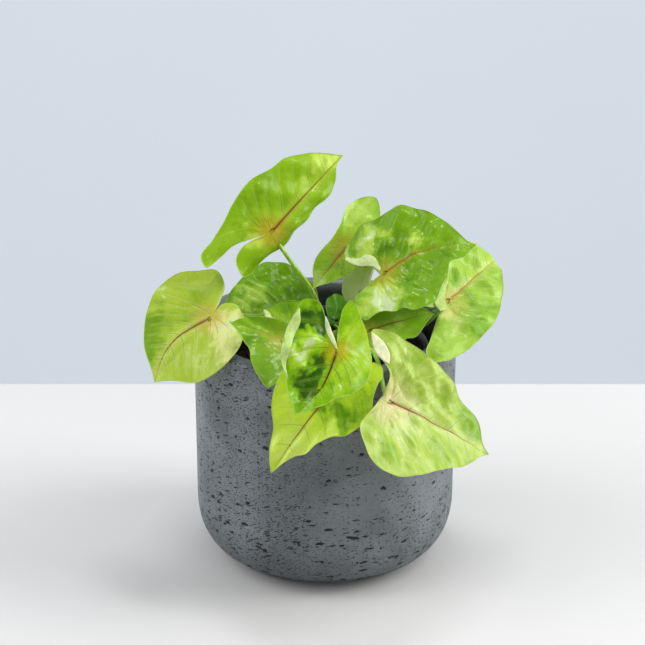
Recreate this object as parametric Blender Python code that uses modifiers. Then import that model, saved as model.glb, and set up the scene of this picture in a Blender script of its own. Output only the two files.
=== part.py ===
"""Potted syngonium: an arrowhead plant in a nursery pot that stands in a thick round-bottomed planter.

Metres, +Z up. The origin is the middle of the planter's flat underside and the front is -Y.
The plant is laid out in millimetres and turned into metres when its meshes are made.
"""

import math
from dataclasses import dataclass

import bmesh
import bpy
import numpy as np
from mathutils import Vector
from mathutils.geometry import delaunay_2d_cdt

MM = 0.001
GAP = 0.0003
SHARP_ANGLE = math.radians(40)

# Planter
PLANTER_RADIUS = 0.075
PLANTER_HEIGHT = 0.1395
PLANTER_CORNER = 0.0365
PLANTER_CORNER_POWER = 2.5
PLANTER_WALL = 0.0093
PLANTER_FLOOR = 0.014
PLANTER_INNER_CORNER = 0.020
PLANTER_LIP_ROUND = 0.0016
PLANTER_SIDES = 48

# Nursery pot
POT_HEIGHT = 0.1125
POT_RIM_RADIUS = 0.0600
POT_TOP_RADIUS = 0.0575
POT_BASE_RADIUS = 0.0430
POT_WALL = 0.0012
POT_RIM_HEIGHT = 0.0050
POT_SIDES = 40
DRAIN_HOLES = 6
DRAIN_RADIUS = 0.0045
DRAIN_CIRCLE = 0.0280

# Potting mix
MIX_TOP = 0.1115
MIX_RINGS = 7
MIX_RELIEF = 0.0014

# Shoots: where each stands, and how it is made
SHOOT_RADIUS = 0.0050
SHOOT_ABOVE = 0.0075
SHOOT_BELOW = 0.0180
SEAT_CIRCLE = 2.9
SHOOTS = {
    "shoot_left": (-15.0, 2.0),
    "shoot_back": (5.0, 18.0),
    "shoot_right": (17.0, 5.0),
    "shoot_front": (4.0, -14.0),
    "shoot_small": (9.0, 36.0),
}

# Leaves
BLADE_THICKNESS = 0.0007
MESH_CLEARANCE = 0.8
INSIDE_ONLY = 1
MERGE = 0.0001
FEW_RINGS = (0.16, 0.36, 0.58, 0.79)
MORE_RINGS = (0.16, 0.35, 0.54, 0.70, 0.81, 0.91)
STALK_SIDES_LEVEL = 1
STALK_POINTS = 8
MIDRIB_REACH = (0.10, 0.26, 0.44, 0.60)
MIDRIB_END_RADIUS = 0.2

FRESH, PALE, DEEP = "leaf_fresh", "leaf_pale", "leaf_deep"


@dataclass
class Leaf:
    """One leaf in millimetres and degrees.

    The blade is drawn flat round the place where its stalk joins. The midrib runs along +X to the tip and the
    upper face looks to +Z. left and right give the outline from the tip round to the sinus, the notch between
    the basal lobes, as (angle from the midrib, distance). The flat blade is then bent, turned
    to its heading, pitch and roll, and set with its stalk joint at "at".
    """

    name: str
    tone: str
    at: tuple
    heading: float
    pitch: float
    roll: float
    length: float
    left: tuple
    right: tuple
    shoot: str
    seat: float
    via: tuple
    sinus: tuple = (180, 3)
    bends: tuple = ()
    wave: tuple = (0.8, 3.0)
    stalk: float = 1.3
    samples: int = 14
    rings: tuple = FEW_RINGS


LEAVES = (
    Leaf("leaf_top_left", FRESH, (-30, 0, 195), 39, 35, 42, 65,
         left=((5, 61.5), (12, 56.5), (20, 50), (31, 44), (43, 36), (62, 32), (99, 27), (120, 27.5),
               (141, 34), (154, 44), (161, 43.5), (160, 35), (153, 24)),
         right=((2, 56), (9, 48.5), (17, 40.5), (24, 29), (40, 20.5), (70, 16.5), (110, 16.5), (141, 20),
                (160, 27), (172, 30.5), (188, 27), (200, 19)),
         sinus=(157, 4), bends=((90, 1, 9, 14), (-95, 1, 8, -75), (0, 8, 60, -12)),
         shoot="shoot_back", seat=180, via=((0, 12, 132), (-7, 6, 156), (-20, 3, 177))),
    Leaf("leaf_far_left", PALE, (-64, -28, 154), -140, -33, -21, 48,
         left=((17, 43), (35, 40), (55, 35), (75, 29), (92, 25), (113, 22), (137, 18), (165, 16), (185, 12)),
         right=((21, 41), (38, 38), (60, 36), (84, 36), (106, 35), (126, 31), (148, 29), (157, 24),
                (163, 13)),
         sinus=(192, 3), bends=((90, 0, 10, 8), (-90, 0, 10, 8), (0, 8, 50, -10)),
         shoot="shoot_left", seat=180, via=((-19, -12, 128), (-37, -26, 143))),
    Leaf("leaf_mid_left", FRESH, (-22, 2, 145), -171, 2, -25, 42,
         left=((19, 31), (44, 23), (70, 18), (105, 14), (140, 14), (168, 9)),
         right=((21, 36), (33, 35), (55, 35), (79, 37), (103, 33), (133, 26), (155, 21), (170, 10)),
         bends=((90, 0, 10, 10), (-90, 0, 10, 10), (0, 8, 50, -10)),
         shoot="shoot_left", seat=90, via=((-16, 6, 128),)),
    Leaf("leaf_rim_left", FRESH, (-23, -52, 150), 166, 17, -30, 32,
         left=((22, 22), (40, 20), (67, 25), (84, 30), (97, 33), (106, 28), (120, 19), (145, 10)),
         right=((20, 22), (50, 14), (90, 11), (130, 11), (160, 8)),
         bends=((90, 0, 10, 8), (-90, 1, 6, 40)),
         shoot="shoot_left", seat=270, via=((-15, -22, 126), (-19, -42, 143))),
    Leaf("leaf_front_upper", FRESH, (6, -84, 158), -136, -41, -33, 41,
         left=((15, 33), (30, 27), (50, 25.5), (72, 25), (90, 22), (108, 19.5), (132, 17.5), (159, 19.5),
               (177, 22.5), (190, 27.5), (197, 29.5), (203, 25), (207, 17)),
         right=((15, 35), (28, 30.5), (45, 30), (62, 29.5), (80, 29), (94, 29.5), (104, 31), (114, 33),
                (126, 29), (130, 18)),
         sinus=(215, 3), bends=((90, 0, 10, 12), (-90, 0, 10, 12), (0, 8, 50, -10)),
         shoot="shoot_front", seat=180, via=((2, -26, 138), (3, -56, 156)), rings=MORE_RINGS),
    Leaf("leaf_front_lower", FRESH, (13, -78, 143), -150, -44, -46, 69,
         left=((2.5, 59), (5, 54), (10, 49.5), (14, 42), (23, 36), (36, 34.5), (47, 31), (66, 25), (84, 19),
               (105, 17.3), (122, 18), (140, 17.3), (160, 11)),
         right=((4, 64), (8, 59.5), (16, 50.5), (30, 45), (55, 35), (75, 26), (100, 18), (130, 14), (160, 9)),
         bends=((90, 0, 10, 12), (-90, 0, 10, 12), (0, 8, 50, -10)),
         shoot="shoot_front", seat=300, via=((8, -28, 128), (11, -56, 143))),
    Leaf("leaf_front_right", PALE, (34, -84, 129), 14, -31, 52, 74,
         left=((12, 63), (22, 50), (45, 40), (70, 35), (93, 35), (113, 38), (125, 39), (128, 33),
               (122, 24), (107, 15)),
         right=((14, 59.5), (22, 52), (34, 46), (51, 43), (70, 42), (87, 40), (98, 37), (107, 31.5),
                (124, 26), (131, 15)),
         sinus=(150, 4), bends=((90, 0, 10, 10), (-90, 0, 10, 10), (0, 8, 50, -14)),
         shoot="shoot_front", seat=30, via=((15, -38, 138), (27, -66, 148)), rings=MORE_RINGS),
    Leaf("leaf_top_right", DEEP, (33, -5, 172), 1, 21, 32, 55,
         left=((12, 49), (31, 46), (64, 42), (85, 36), (110, 32), (126, 29), (137, 26), (140, 21), (138, 14),
               (128, 8)),
         right=((3, 50), (9, 46), (13, 39), (27, 38), (43, 38.5), (60, 40.5), (72, 37.5), (84, 29.5),
                (97, 27), (108, 31), (122, 33), (135, 27), (151, 21.5), (165, 11)),
         sinus=(160, 2.2), bends=((90, 0, 10, 10), (-90, 0, 10, 10), (0, 8, 50, -10)),
         shoot="shoot_right", seat=150, via=((18, 0, 138), (25, -3, 158)), rings=MORE_RINGS),
    Leaf("leaf_far_right", FRESH, (69, -12, 158), 50, 15, 35, 54,
         left=((10, 50), (18, 49), (29, 43), (50, 34.5), (80, 28), (110, 25), (140, 22), (162, 12)),
         right=((10, 44), (23, 38), (40, 32.5), (57, 30), (83, 28.5), (108, 30.5), (127, 35), (145, 42.5),
                (154, 45), (160, 41), (161, 33), (163, 22), (166, 14)),
         bends=((90, 0, 10, 10), (-90, 0, 10, 10), (0, 41, 12, -80)),
         shoot="shoot_right", seat=30, via=((34, -2, 129), (57, -9, 143))),
    Leaf("leaf_top_middle", FRESH, (12, 28, 175), -135, -32, -24, 32,
         left=((15, 25), (40, 20), (80, 17), (120, 17), (150, 15), (168, 8)),
         right=((28, 20), (52, 13), (80, 10), (122, 13), (147, 27.5), (160, 34), (171, 37), (184, 31)),
         bends=((90, 0, 8, 25), (-90, 0, 8, 25), (0, 8, 40, -15)),
         shoot="shoot_back", seat=60, via=((14, 24, 132), (18, 31, 155))),
    Leaf("leaf_folded_left", FRESH, (-15, -26, 143), -176, 40, -50, 25,
         left=((20, 21), (50, 17), (90, 13), (130, 8), (160, 5)),
         right=((15, 22), (40, 20), (75, 19), (110, 17), (145, 11), (165, 6)),
         bends=((90, 0, 6, 15), (-90, 0, 6, 15), (90, 8, 6, 120)),
         shoot="shoot_left", seat=0, via=((-11, -8, 135),), stalk=1.1, samples=11),
    Leaf("leaf_rim_right", PALE, (24, -27, 146), 2, 19, 25, 38,
         left=((15, 30), (40, 17), (80, 11), (120, 9), (160, 6)),
         right=((18, 33), (40, 26), (70, 22), (105, 18), (140, 13), (165, 7)),
         bends=((90, 0, 6, 75), (-90, 0, 10, 10), (0, 8, 30, -10)),
         shoot="shoot_right", seat=270, via=((18, -10, 131),), samples=11),
    Leaf("leaf_under_right", DEEP, (38, 10, 150), -20, 0, 10, 34,
         left=((20, 28), (50, 22), (90, 18), (130, 16), (160, 8)),
         right=((20, 28), (50, 22), (90, 18), (130, 14), (160, 8)),
         bends=((90, 0, 8, 12), (-90, 0, 8, 12)),
         shoot="shoot_right", seat=85, via=((23, 13, 130),), stalk=1.1, samples=11),
    Leaf("leaf_young_rolled", PALE, (20, 18, 151), 60, 62, 0, 24,
         left=((20, 22), (60, 14), (100, 11), (140, 9), (165, 5)),
         right=((20, 22), (60, 14), (100, 11), (140, 9), (165, 5)),
         bends=((90, 0, 10, 70), (-90, 0, 10, 70)),
         shoot="shoot_back", seat=300, via=((15, 17, 134),), stalk=1.1, samples=11),
    Leaf("leaf_small_dark_1", DEEP, (8, 38, 131), 100, 40, 0, 13,
         left=((30, 11), (70, 8), (120, 7), (155, 5)),
         right=((30, 11), (70, 8), (120, 7), (155, 5)),
         bends=((90, 0, 6, 12), (-90, 0, 6, 12)),
         shoot="shoot_small", seat=90, via=(), stalk=0.9, samples=9),
    Leaf("leaf_small_dark_2", DEEP, (3, 31, 128), -150, 10, 0, 13,
         left=((30, 11), (70, 8), (120, 7), (155, 5)),
         right=((30, 11), (70, 8), (120, 7), (155, 5)),
         bends=((90, 0, 6, 12), (-90, 0, 6, 12)),
         shoot="shoot_small", seat=240, via=(), stalk=0.9, samples=9),
)


# Leaf shape


def smooth_curve(points, count):
    """Evenly spaced points on one smooth open curve through the given ones."""
    points = np.asarray(points, float)
    chord = np.concatenate([[0], np.cumsum(np.linalg.norm(np.diff(points, axis=0), axis=1))])
    slope = np.gradient(points, chord, axis=0, edge_order=1)
    found = []
    for place in np.linspace(0, chord[-1], count):
        i = min(int(np.searchsorted(chord, place, side="right")) - 1, len(points) - 2)
        step = chord[i + 1] - chord[i]
        t = (place - chord[i]) / step
        found.append(
            (2 * t**3 - 3 * t**2 + 1) * points[i]
            + (t**3 - 2 * t**2 + t) * step * slope[i]
            + (3 * t**2 - 2 * t**3) * points[i + 1]
            + (t**3 - t**2) * step * slope[i + 1]
        )
    return np.array(found)


def polar(angle, distance, side=1):
    turn = math.radians(angle)
    return distance * math.cos(turn), side * distance * math.sin(turn)


def outline(leaf, count):
    """The flat margin of each side from the tip to the sinus, left side first."""
    sinus = polar(*leaf.sinus)
    sides = []
    for side, places in ((1, leaf.left), (-1, leaf.right)):
        points = [(leaf.length, 0), *(polar(*place, side) for place in places), sinus]
        sides.append(smooth_curve(points, count))
    return sides


def bent(points, heading, start, span, angle):
    """Turns what lies beyond a line up by the angle over the span, so that a flat blade keeps its lengths.

    The line stands square to the heading, at the start distance.
    """
    across = np.array(polar(heading, 1.0))
    level = np.array([-across[1], across[0]])
    out = points[:, :2] @ across
    beside = points[:, :2] @ level
    height = points[:, 2]
    rate = math.radians(angle) / span
    turned = rate * np.clip(out - start, 0, span)
    beyond = np.clip(out - start - span, 0, None)
    reach = np.minimum(out, start) + np.sin(turned) / rate + beyond * np.cos(turned) - height * np.sin(turned)
    lift = (1 - np.cos(turned)) / rate + beyond * np.sin(turned) + height * np.cos(turned)
    flat = reach[:, None] * across + beside[:, None] * level
    return np.column_stack([flat, lift])


def axes(leaf):
    """The blade's midrib, left and upward directions in the world, as columns."""
    heading, pitch, roll = (math.radians(a) for a in (leaf.heading, leaf.pitch, leaf.roll))
    midrib = np.array([
        math.cos(heading) * math.cos(pitch),
        math.sin(heading) * math.cos(pitch),
        math.sin(pitch),
    ])
    level = np.array([-math.sin(heading), math.cos(heading), 0.0])
    left = level * math.cos(roll) + np.cross(midrib, level) * math.sin(roll)
    return np.column_stack([midrib, left, np.cross(midrib, left)])


def formed(leaf, points):
    """World places in millimetres of points on, or off, the flat blade."""
    points = np.asarray(points, float)
    for bend in leaf.bends:
        points = bent(points, *bend)
    return points @ axes(leaf).T + np.array(leaf.at, float)


def wave(leaf, share, place):
    """Height of the margin's gentle wave."""
    height, count = leaf.wave
    return height * share**2 * np.sin(2 * math.pi * count * place)


def edge_distance(place, margin):
    """Distance of a flat place from the closed margin."""
    ahead = np.roll(margin, -1, axis=0) - margin
    share = np.clip(((place - margin) * ahead).sum(axis=1) / (ahead**2).sum(axis=1), 0, 1)
    return np.linalg.norm(place - margin - share[:, None] * ahead, axis=1).min()


def blade_points(leaf):
    """Flat points waved as height, the margin first, and the number on the margin.

    The others lie on rings round the stalk joint. A lobe may reach back past its own root, and there
    rings come close to the margin or to each other, so points in the way are left out.
    """
    left, right = outline(leaf, leaf.samples)
    margin = np.concatenate([left, right[-2:0:-1]])
    place = np.linspace(0, 1, leaf.samples)
    place = np.concatenate([place, place[-2:0:-1]])
    points = [(*flat, high) for flat, high in zip(margin, wave(leaf, 1.0, place))]
    inner = [(0.0, 0.0, 0.0)]
    for share in leaf.rings:
        for flat, high in zip(share * margin, wave(leaf, share, place)):
            nearest = np.linalg.norm(np.array(inner)[:, :2] - flat, axis=1).min()
            if nearest > MESH_CLEARANCE and edge_distance(flat, margin) > MESH_CLEARANCE:
                inner.append((*flat, high))
    return np.array(points + inner), len(margin)


def stalk_path(leaf):
    """Centre line and radius of the stalk, from its seat on the shoot to the joint and on as the midrib."""
    x, y = SHOOTS[leaf.shoot]
    dx, dy = polar(leaf.seat, SEAT_CIRCLE)
    foot = np.array([x + dx, y + dy, (MIX_TOP + SHOOT_ABOVE + GAP) / MM])
    under = 0.5 * BLADE_THICKNESS / MM + leaf.stalk
    joint = formed(leaf, [(-0.5, 0, -under)])[0]
    points = [foot, foot + (0, 0, 3), *leaf.via, joint]
    stem = smooth_curve(points, STALK_POINTS + 2 * len(leaf.via))
    stem[1] = (foot[0], foot[1], stem[1][2])
    radii = np.linspace(leaf.stalk * 1.12, leaf.stalk * 0.9, len(stem))
    reach = np.array(MIDRIB_REACH)
    fade = (reach - reach[0]) / (reach[-1] - reach[0])
    thin = leaf.stalk * 0.8 * (1 - fade) + MIDRIB_END_RADIUS * fade
    sunk = 0.4 * BLADE_THICKNESS / MM + thin * (1 - fade)
    rib = formed(leaf, np.column_stack([reach * leaf.length, 0 * reach, -sunk]))
    return np.concatenate([stem, rib]), np.concatenate([radii, thin])


# Meshes


def add_object(name, mesh, collection):
    obj = bpy.data.objects.new(name, mesh)
    collection.objects.link(obj)
    return obj


def add_material(name, colour, roughness, metallic=0.0):
    material = bpy.data.materials.new(name)
    material.use_nodes = True
    shader = material.node_tree.nodes["Principled BSDF"]
    shader.inputs["Base Color"].default_value = (*colour, 1.0)
    shader.inputs["Roughness"].default_value = roughness
    shader.inputs["Metallic"].default_value = metallic
    material.diffuse_color = (*colour, 1.0)
    return material


def solid_mesh(obj, name):
    """The object's evaluated mesh as a mesh of its own, with loose caps welded."""
    graph = bpy.context.evaluated_depsgraph_get()
    mesh = bpy.data.meshes.new_from_object(obj.evaluated_get(graph))
    mesh.name = name
    mesh.transform(obj.matrix_world)
    work = bmesh.new()
    work.from_mesh(mesh)
    bmesh.ops.remove_doubles(work, verts=work.verts, dist=1e-6)
    bmesh.ops.recalc_face_normals(work, faces=work.faces)
    work.to_mesh(mesh)
    work.free()
    return mesh


def add_turned(name, profile, sides, collection):
    """A body turned round Z from a profile that starts and ends on the axis."""
    mesh = bpy.data.meshes.new(name)
    work = bmesh.new()
    verts = [work.verts.new((radius, 0, height)) for radius, height in profile]
    for first, second in zip(verts, verts[1:]):
        work.edges.new((first, second))
    work.to_mesh(mesh)
    work.free()
    obj = add_object(name, mesh, collection)
    screw = obj.modifiers.new("Turn", "SCREW")
    screw.steps = sides
    screw.render_steps = sides
    screw.use_merge_vertices = True
    screw.merge_threshold = 1e-5
    return obj


def arc(centre, radius, first, last, steps):
    """Points on an arc of a profile, angles in degrees from +X."""
    return [
        (centre[0] + dx, centre[1] + dy)
        for dx, dy in (polar(a, radius) for a in np.linspace(first, last, steps))
    ]


def planter_profile():
    inner = PLANTER_RADIUS - PLANTER_WALL
    lip = PLANTER_LIP_ROUND
    corner = (inner - PLANTER_INNER_CORNER, PLANTER_FLOOR + PLANTER_INNER_CORNER)
    profile = [(0, PLANTER_FLOOR)]
    profile += arc(corner, PLANTER_INNER_CORNER, -90, 0, 5)
    profile += arc((inner + lip, PLANTER_HEIGHT - lip), lip, 180, 90, 3)
    profile += arc((PLANTER_RADIUS - lip, PLANTER_HEIGHT - lip), lip, 90, 0, 3)
    for turn in np.linspace(0, math.pi / 2, 10):
        out = math.cos(turn) ** (2 / PLANTER_CORNER_POWER)
        down = math.sin(turn) ** (2 / PLANTER_CORNER_POWER)
        profile.append((PLANTER_RADIUS - PLANTER_CORNER * (1 - out), PLANTER_CORNER * (1 - down)))
    profile.append((0, 0))
    return profile


def pot_radius(height):
    """Outer radius of the nursery pot's wall at a height above its base."""
    return POT_BASE_RADIUS + (POT_TOP_RADIUS - POT_BASE_RADIUS) * height / POT_HEIGHT


def pot_profile(base):
    top = base + POT_HEIGHT
    edge = 0.002
    profile = [(0, base + POT_WALL), (POT_BASE_RADIUS - POT_WALL - edge, base + POT_WALL)]
    profile += [(pot_radius(edge) - POT_WALL, base + POT_WALL + edge)]
    profile += [(pot_radius(POT_HEIGHT) - POT_WALL, top - POT_WALL)]
    profile += [(POT_RIM_RADIUS - POT_WALL - 0.0008, top), (POT_RIM_RADIUS - 0.0008, top)]
    profile += [(POT_RIM_RADIUS, top - 0.0008), (POT_RIM_RADIUS, top - POT_RIM_HEIGHT)]
    profile += [(pot_radius(POT_HEIGHT - POT_RIM_HEIGHT), top - POT_RIM_HEIGHT)]
    profile += [(pot_radius(edge), base + edge), (POT_BASE_RADIUS - edge, base), (0, base)]
    return profile


def make_planter(collection):
    planter = add_turned("planter", planter_profile(), PLANTER_SIDES, collection)
    planter.data.materials.append(add_material("planter_stone", (0.10, 0.12, 0.13), 0.75))
    return planter


def cut(obj, cutters):
    """Subtracts each cutter from the object."""
    for cutter in cutters:
        cutter.hide_render = True
        cutter.display_type = "WIRE"
        modifier = obj.modifiers.new("Cut " + cutter.name, "BOOLEAN")
        modifier.operation = "DIFFERENCE"
        modifier.object = cutter


def add_rod(name, place, radius, low, high, sides, collection):
    """An upright round rod."""
    mesh = bpy.data.meshes.new(name)
    work = bmesh.new()
    bmesh.ops.create_cone(
        work, cap_ends=True, segments=sides, radius1=radius, radius2=radius, depth=high - low
    )
    work.to_mesh(mesh)
    work.free()
    obj = add_object(name, mesh, collection)
    obj.location = (place[0], place[1], (low + high) / 2)
    return obj


def make_nursery_pot(base, collection, cutters):
    pot = add_turned("nursery_pot", pot_profile(base), POT_SIDES, collection)
    pot.data.materials.append(add_material("pot_black", (0.012, 0.013, 0.013), 0.35))
    holes = []
    for number in range(DRAIN_HOLES):
        place = polar(360 * number / DRAIN_HOLES, DRAIN_CIRCLE)
        name = f"drain_{number + 1}"
        holes.append(add_rod(name, place, DRAIN_RADIUS, base - 0.003, base + 0.004, 10, cutters))
    cut(pot, holes)
    return pot


def mix_height(x, y):
    """Gentle unevenness of the potting mix's surface."""
    return MIX_RELIEF * (math.sin(97 * x + 1.3) * math.cos(83 * y) + 0.5 * math.sin(211 * x - 173 * y))


def make_mix(base, collection, cutters):
    low = base + POT_WALL + GAP
    wall = POT_WALL + 1.5 * GAP
    top_radius = pot_radius(MIX_TOP - base) - wall
    profile = [(radius, MIX_TOP) for radius in np.linspace(0, top_radius - 0.002, MIX_RINGS)]
    profile += [(top_radius, MIX_TOP - 0.003), (pot_radius(0.004) - wall, low + 0.004)]
    profile += [(POT_BASE_RADIUS - 0.007, low), (0, low)]
    shape = add_turned("mix_shape", profile, POT_SIDES, cutters)
    mesh = solid_mesh(shape, "potting_mix")
    bpy.data.objects.remove(shape)
    for vertex in mesh.vertices:
        if vertex.co.z > MIX_TOP - 1e-6:
            vertex.co.z += mix_height(vertex.co.x, vertex.co.y)
    mesh.shade_smooth()
    mesh.set_sharp_from_angle(angle=SHARP_ANGLE)
    mix = add_object("potting_mix", mesh, collection)
    mix.data.materials.append(add_material("potting_mix", (0.030, 0.020, 0.014), 0.95))
    holes = []
    for name, (x, y) in SHOOTS.items():
        place = (x * MM, y * MM)
        low, high = MIX_TOP - SHOOT_BELOW - GAP, MIX_TOP + 0.01
        holes.append(add_rod(name + "_hole", place, SHOOT_RADIUS + GAP, low, high, 12, cutters))
    cut(mix, holes)
    return mix


def make_shoots(collection, material):
    shoots = []
    for name, (x, y) in SHOOTS.items():
        place = (x * MM, y * MM)
        low, high = MIX_TOP - SHOOT_BELOW, MIX_TOP + SHOOT_ABOVE
        shoot = add_rod(name, place, SHOOT_RADIUS, low, high, 12, collection)
        shoot.data.materials.append(material)
        shoot.data.shade_smooth()
        shoot.data.set_sharp_from_angle(angle=SHARP_ANGLE)
        shoots.append(shoot)
    return shoots


def blade_mesh(leaf):
    """The blade as one open surface of triangles, laid out on the flat sheet and then formed."""
    points, spokes = blade_points(leaf)
    flat = [Vector(point[:2]) for point in points]
    _, _, triangles, sources, _, _ = delaunay_2d_cdt(flat, [], [range(spokes)], INSIDE_ONLY, MERGE)
    places = formed(leaf, points) * MM
    work = bmesh.new()
    verts = [work.verts.new(places[source[0]]) for source in sources]
    for triangle in triangles:
        work.faces.new([verts[corner] for corner in triangle])
    bmesh.ops.delete(work, geom=[vert for vert in verts if not vert.link_faces], context="VERTS")
    mesh = bpy.data.meshes.new(leaf.name)
    work.to_mesh(mesh)
    work.free()
    return mesh


def stalk_curve(leaf, collection):
    path, radii = stalk_path(leaf)
    curve = bpy.data.curves.new(leaf.name + "_stalk", "CURVE")
    curve.dimensions = "3D"
    curve.bevel_depth = MM
    curve.bevel_resolution = STALK_SIDES_LEVEL
    curve.use_fill_caps = True
    spline = curve.splines.new("POLY")
    spline.points.add(len(path) - 1)
    for point, place, radius in zip(spline.points, path, radii):
        point.co = (*(place * MM), 1.0)
        point.radius = radius
    return add_object(curve.name, curve, collection)


def make_leaf(leaf, collection, cutters, materials):
    """Blade and stalk as one solid."""
    blade = add_object(leaf.name, blade_mesh(leaf), collection)
    solidify = blade.modifiers.new("Thickness", "SOLIDIFY")
    solidify.thickness = BLADE_THICKNESS
    solidify.offset = 0
    stalk = stalk_curve(leaf, cutters)
    mesh = solid_mesh(stalk, stalk.name)
    bpy.data.objects.remove(stalk)
    stalk = add_object(leaf.name + "_stalk", mesh, cutters)
    stalk.hide_render = True
    stalk.display_type = "WIRE"
    union = blade.modifiers.new("Stalk", "BOOLEAN")
    union.operation = "UNION"
    union.object = stalk
    blade.data.materials.append(materials[leaf.tone])
    blade.data.shade_smooth()
    return blade


def make_model():
    for obj in list(bpy.data.objects):
        bpy.data.objects.remove(obj)
    collection = bpy.data.collections.new("potted_syngonium")
    cutters = bpy.data.collections.new("cutters")
    for item in (collection, cutters):
        bpy.context.scene.collection.children.link(item)
    stalk_green = add_material("stalk_green", (0.26, 0.42, 0.05), 0.5)
    tones = {
        FRESH: add_material(FRESH, (0.28, 0.52, 0.04), 0.4),
        PALE: add_material(PALE, (0.45, 0.62, 0.16), 0.45),
        DEEP: add_material(DEEP, (0.18, 0.42, 0.02), 0.35),
    }
    base = PLANTER_FLOOR + GAP
    make_planter(collection)
    make_nursery_pot(base, collection, cutters)
    make_mix(base, collection, cutters)
    make_shoots(collection, stalk_green)
    for leaf in LEAVES:
        make_leaf(leaf, collection, cutters, tones)


make_model()
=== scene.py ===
"""Potted syngonium: the finer pieces, finishes, floor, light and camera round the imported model.

The frame's solids are in metres, +Z up, with the front at -Y and the origin under the middle of the planter.
Lengths are worked out here in millimetres and turned into metres when a mesh is made.
"""

import math
from dataclasses import dataclass

import bpy
import numpy as np
from bpy.props import FloatProperty, FloatVectorProperty, IntProperty, PointerProperty
from bpy.types import Operator, Panel, PropertyGroup
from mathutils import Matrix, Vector


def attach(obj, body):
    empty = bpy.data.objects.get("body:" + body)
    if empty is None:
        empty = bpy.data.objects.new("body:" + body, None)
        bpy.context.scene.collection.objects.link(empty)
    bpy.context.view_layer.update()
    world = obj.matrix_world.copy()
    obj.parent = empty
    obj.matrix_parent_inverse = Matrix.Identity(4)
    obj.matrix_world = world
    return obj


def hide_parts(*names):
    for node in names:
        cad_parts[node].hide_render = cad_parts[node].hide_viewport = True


bl_info = {
    "name": "Potted syngonium",
    "version": (1, 0, 0),
    "blender": (4, 5, 0),
    "location": "3D View > Sidebar > Syngonium",
    "description": "Builds an arrowhead plant in a pitted planter, with its floor, light and camera",
    "category": "Add Mesh",
}

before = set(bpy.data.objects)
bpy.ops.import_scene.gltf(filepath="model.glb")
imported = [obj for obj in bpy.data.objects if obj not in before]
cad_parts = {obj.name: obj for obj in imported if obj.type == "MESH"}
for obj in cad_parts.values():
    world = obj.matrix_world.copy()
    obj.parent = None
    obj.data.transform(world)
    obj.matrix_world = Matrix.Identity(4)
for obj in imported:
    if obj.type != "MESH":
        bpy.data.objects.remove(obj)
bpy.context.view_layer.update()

MM = 0.001
ROOT = "root"

# Planter, in millimetres
PLANTER_RADIUS = 75.0
PLANTER_HEIGHT = 139.5
PLANTER_CORNER = 36.5
PLANTER_CORNER_POWER = 2.5
PLANTER_WALL = 9.3
PLANTER_FLOOR = 14.0
PLANTER_INNER_CORNER = 20.0
PLANTER_LIP_ROUND = 1.6
PLANTER_COLUMNS = 380
PLANTER_ROWS = 232

# The share of the larger pits that lie low down, and how far any one of them reaches, sideways and upward
PITS_LOW = 0.62
PIT_ROOM = (7.0, 4.0)

# Nursery pot
POT_BASE = 14.3
POT_HEIGHT = 112.5
POT_RIM_RADIUS = 60.0
POT_TOP_RADIUS = 57.5
POT_BASE_RADIUS = 43.0
POT_WALL = 1.2
POT_RIM_HEIGHT = 5.0
POT_BEAD = 0.9
POT_COLUMNS = 160

# Potting mix and shoots
MIX_TOP = 111.5
MIX_GAP = 0.3
LUMP_SQUASH = 0.7
CRUMBS_A_BARK = 9
DRY_ROOTS = (
    ((6.0, 40.0, 113.2), (10.0, 46.0, 115.5), (16.0, 51.0, 119.5), (22.0, 52.8, 124.0)),
    ((-30.0, -5.0, 112.8), (-22.0, 6.0, 113.6), (-24.0, 17.0, 113.2), (-16.0, 25.0, 112.8)),
    ((30.0, -18.0, 112.9), (24.0, -28.0, 113.6), (12.0, -31.0, 113.4), (4.0, -38.0, 112.9)),
)
ROOT_STEPS = 26
SHOOT_RADIUS = 5.0
SHOOT_ABOVE = 7.5
SEAT_GAP = 0.3
SEAT_CIRCLE = 2.9
SHOOTS = {
    "shoot_left": (-15.0, 2.0),
    "shoot_back": (5.0, 18.0),
    "shoot_right": (17.0, 5.0),
    "shoot_front": (4.0, -14.0),
    "shoot_small": (9.0, 36.0),
}

# Leaves
CAD_BLADE = 0.7
BLADE_MIDDLE = 0.55
BLADE_EDGE = 0.32
GROWN_BLADE = 45.0
FLAP_THICKNESS = 0.4
FLAP_STEPS = 40
FLAP_TURNS = 12
STALK_SIDES = 14
STALK_STEPS = 56
MIDRIB_STEPS = 14
MIDRIB_REACH = (0.03, 0.86)
VEIN_LEAN = 0.55
VEIN_BEND = 1.0
VEIN_COUNT = 5.5
LOBE_FAN = 0.42

# Margin points a side and rings of points, by a leaf's detail
BLADE_DETAIL = ((36, 14), (64, 24), (104, 42))

# Ripples of a blade: the size of the bumps and their height
BLISTERS = (17.0, 0.95)
PUCKERS = (8.0, 0.20)
FINE_GRAIN = (3.0, 0.05)

# How early a spoke turns to run behind its lobe, how far it swings round and how close spokes may lie
SPOKE_SLACK = 0.1
SPOKE_SWING = 1.25
SPOKE_PACK = 0.3

# Seeds of the random draws
WALL_SEED = 5
PIT_SEED = 11
MIX_SEED = 21
CRUMB_SEED = 31
LUMP_SEED = 40
ROOT_SEED = 60
SHOOT_SEED = 70

FRESH, PALE, DEEP = "leaf_fresh", "leaf_pale", "leaf_deep"


def srgb(red, green, blue):
    """A screen colour of 0 to 255 as linear light."""
    made = []
    for value in (red / 255, green / 255, blue / 255):
        made.append(value / 12.92 if value <= 0.04045 else ((value + 0.055) / 1.055) ** 2.4)
    return tuple(made)


def shade(colour, share):
    """The colour made darker or lighter by a share."""
    return tuple(min(1.0, share * part) for part in colour)


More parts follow.
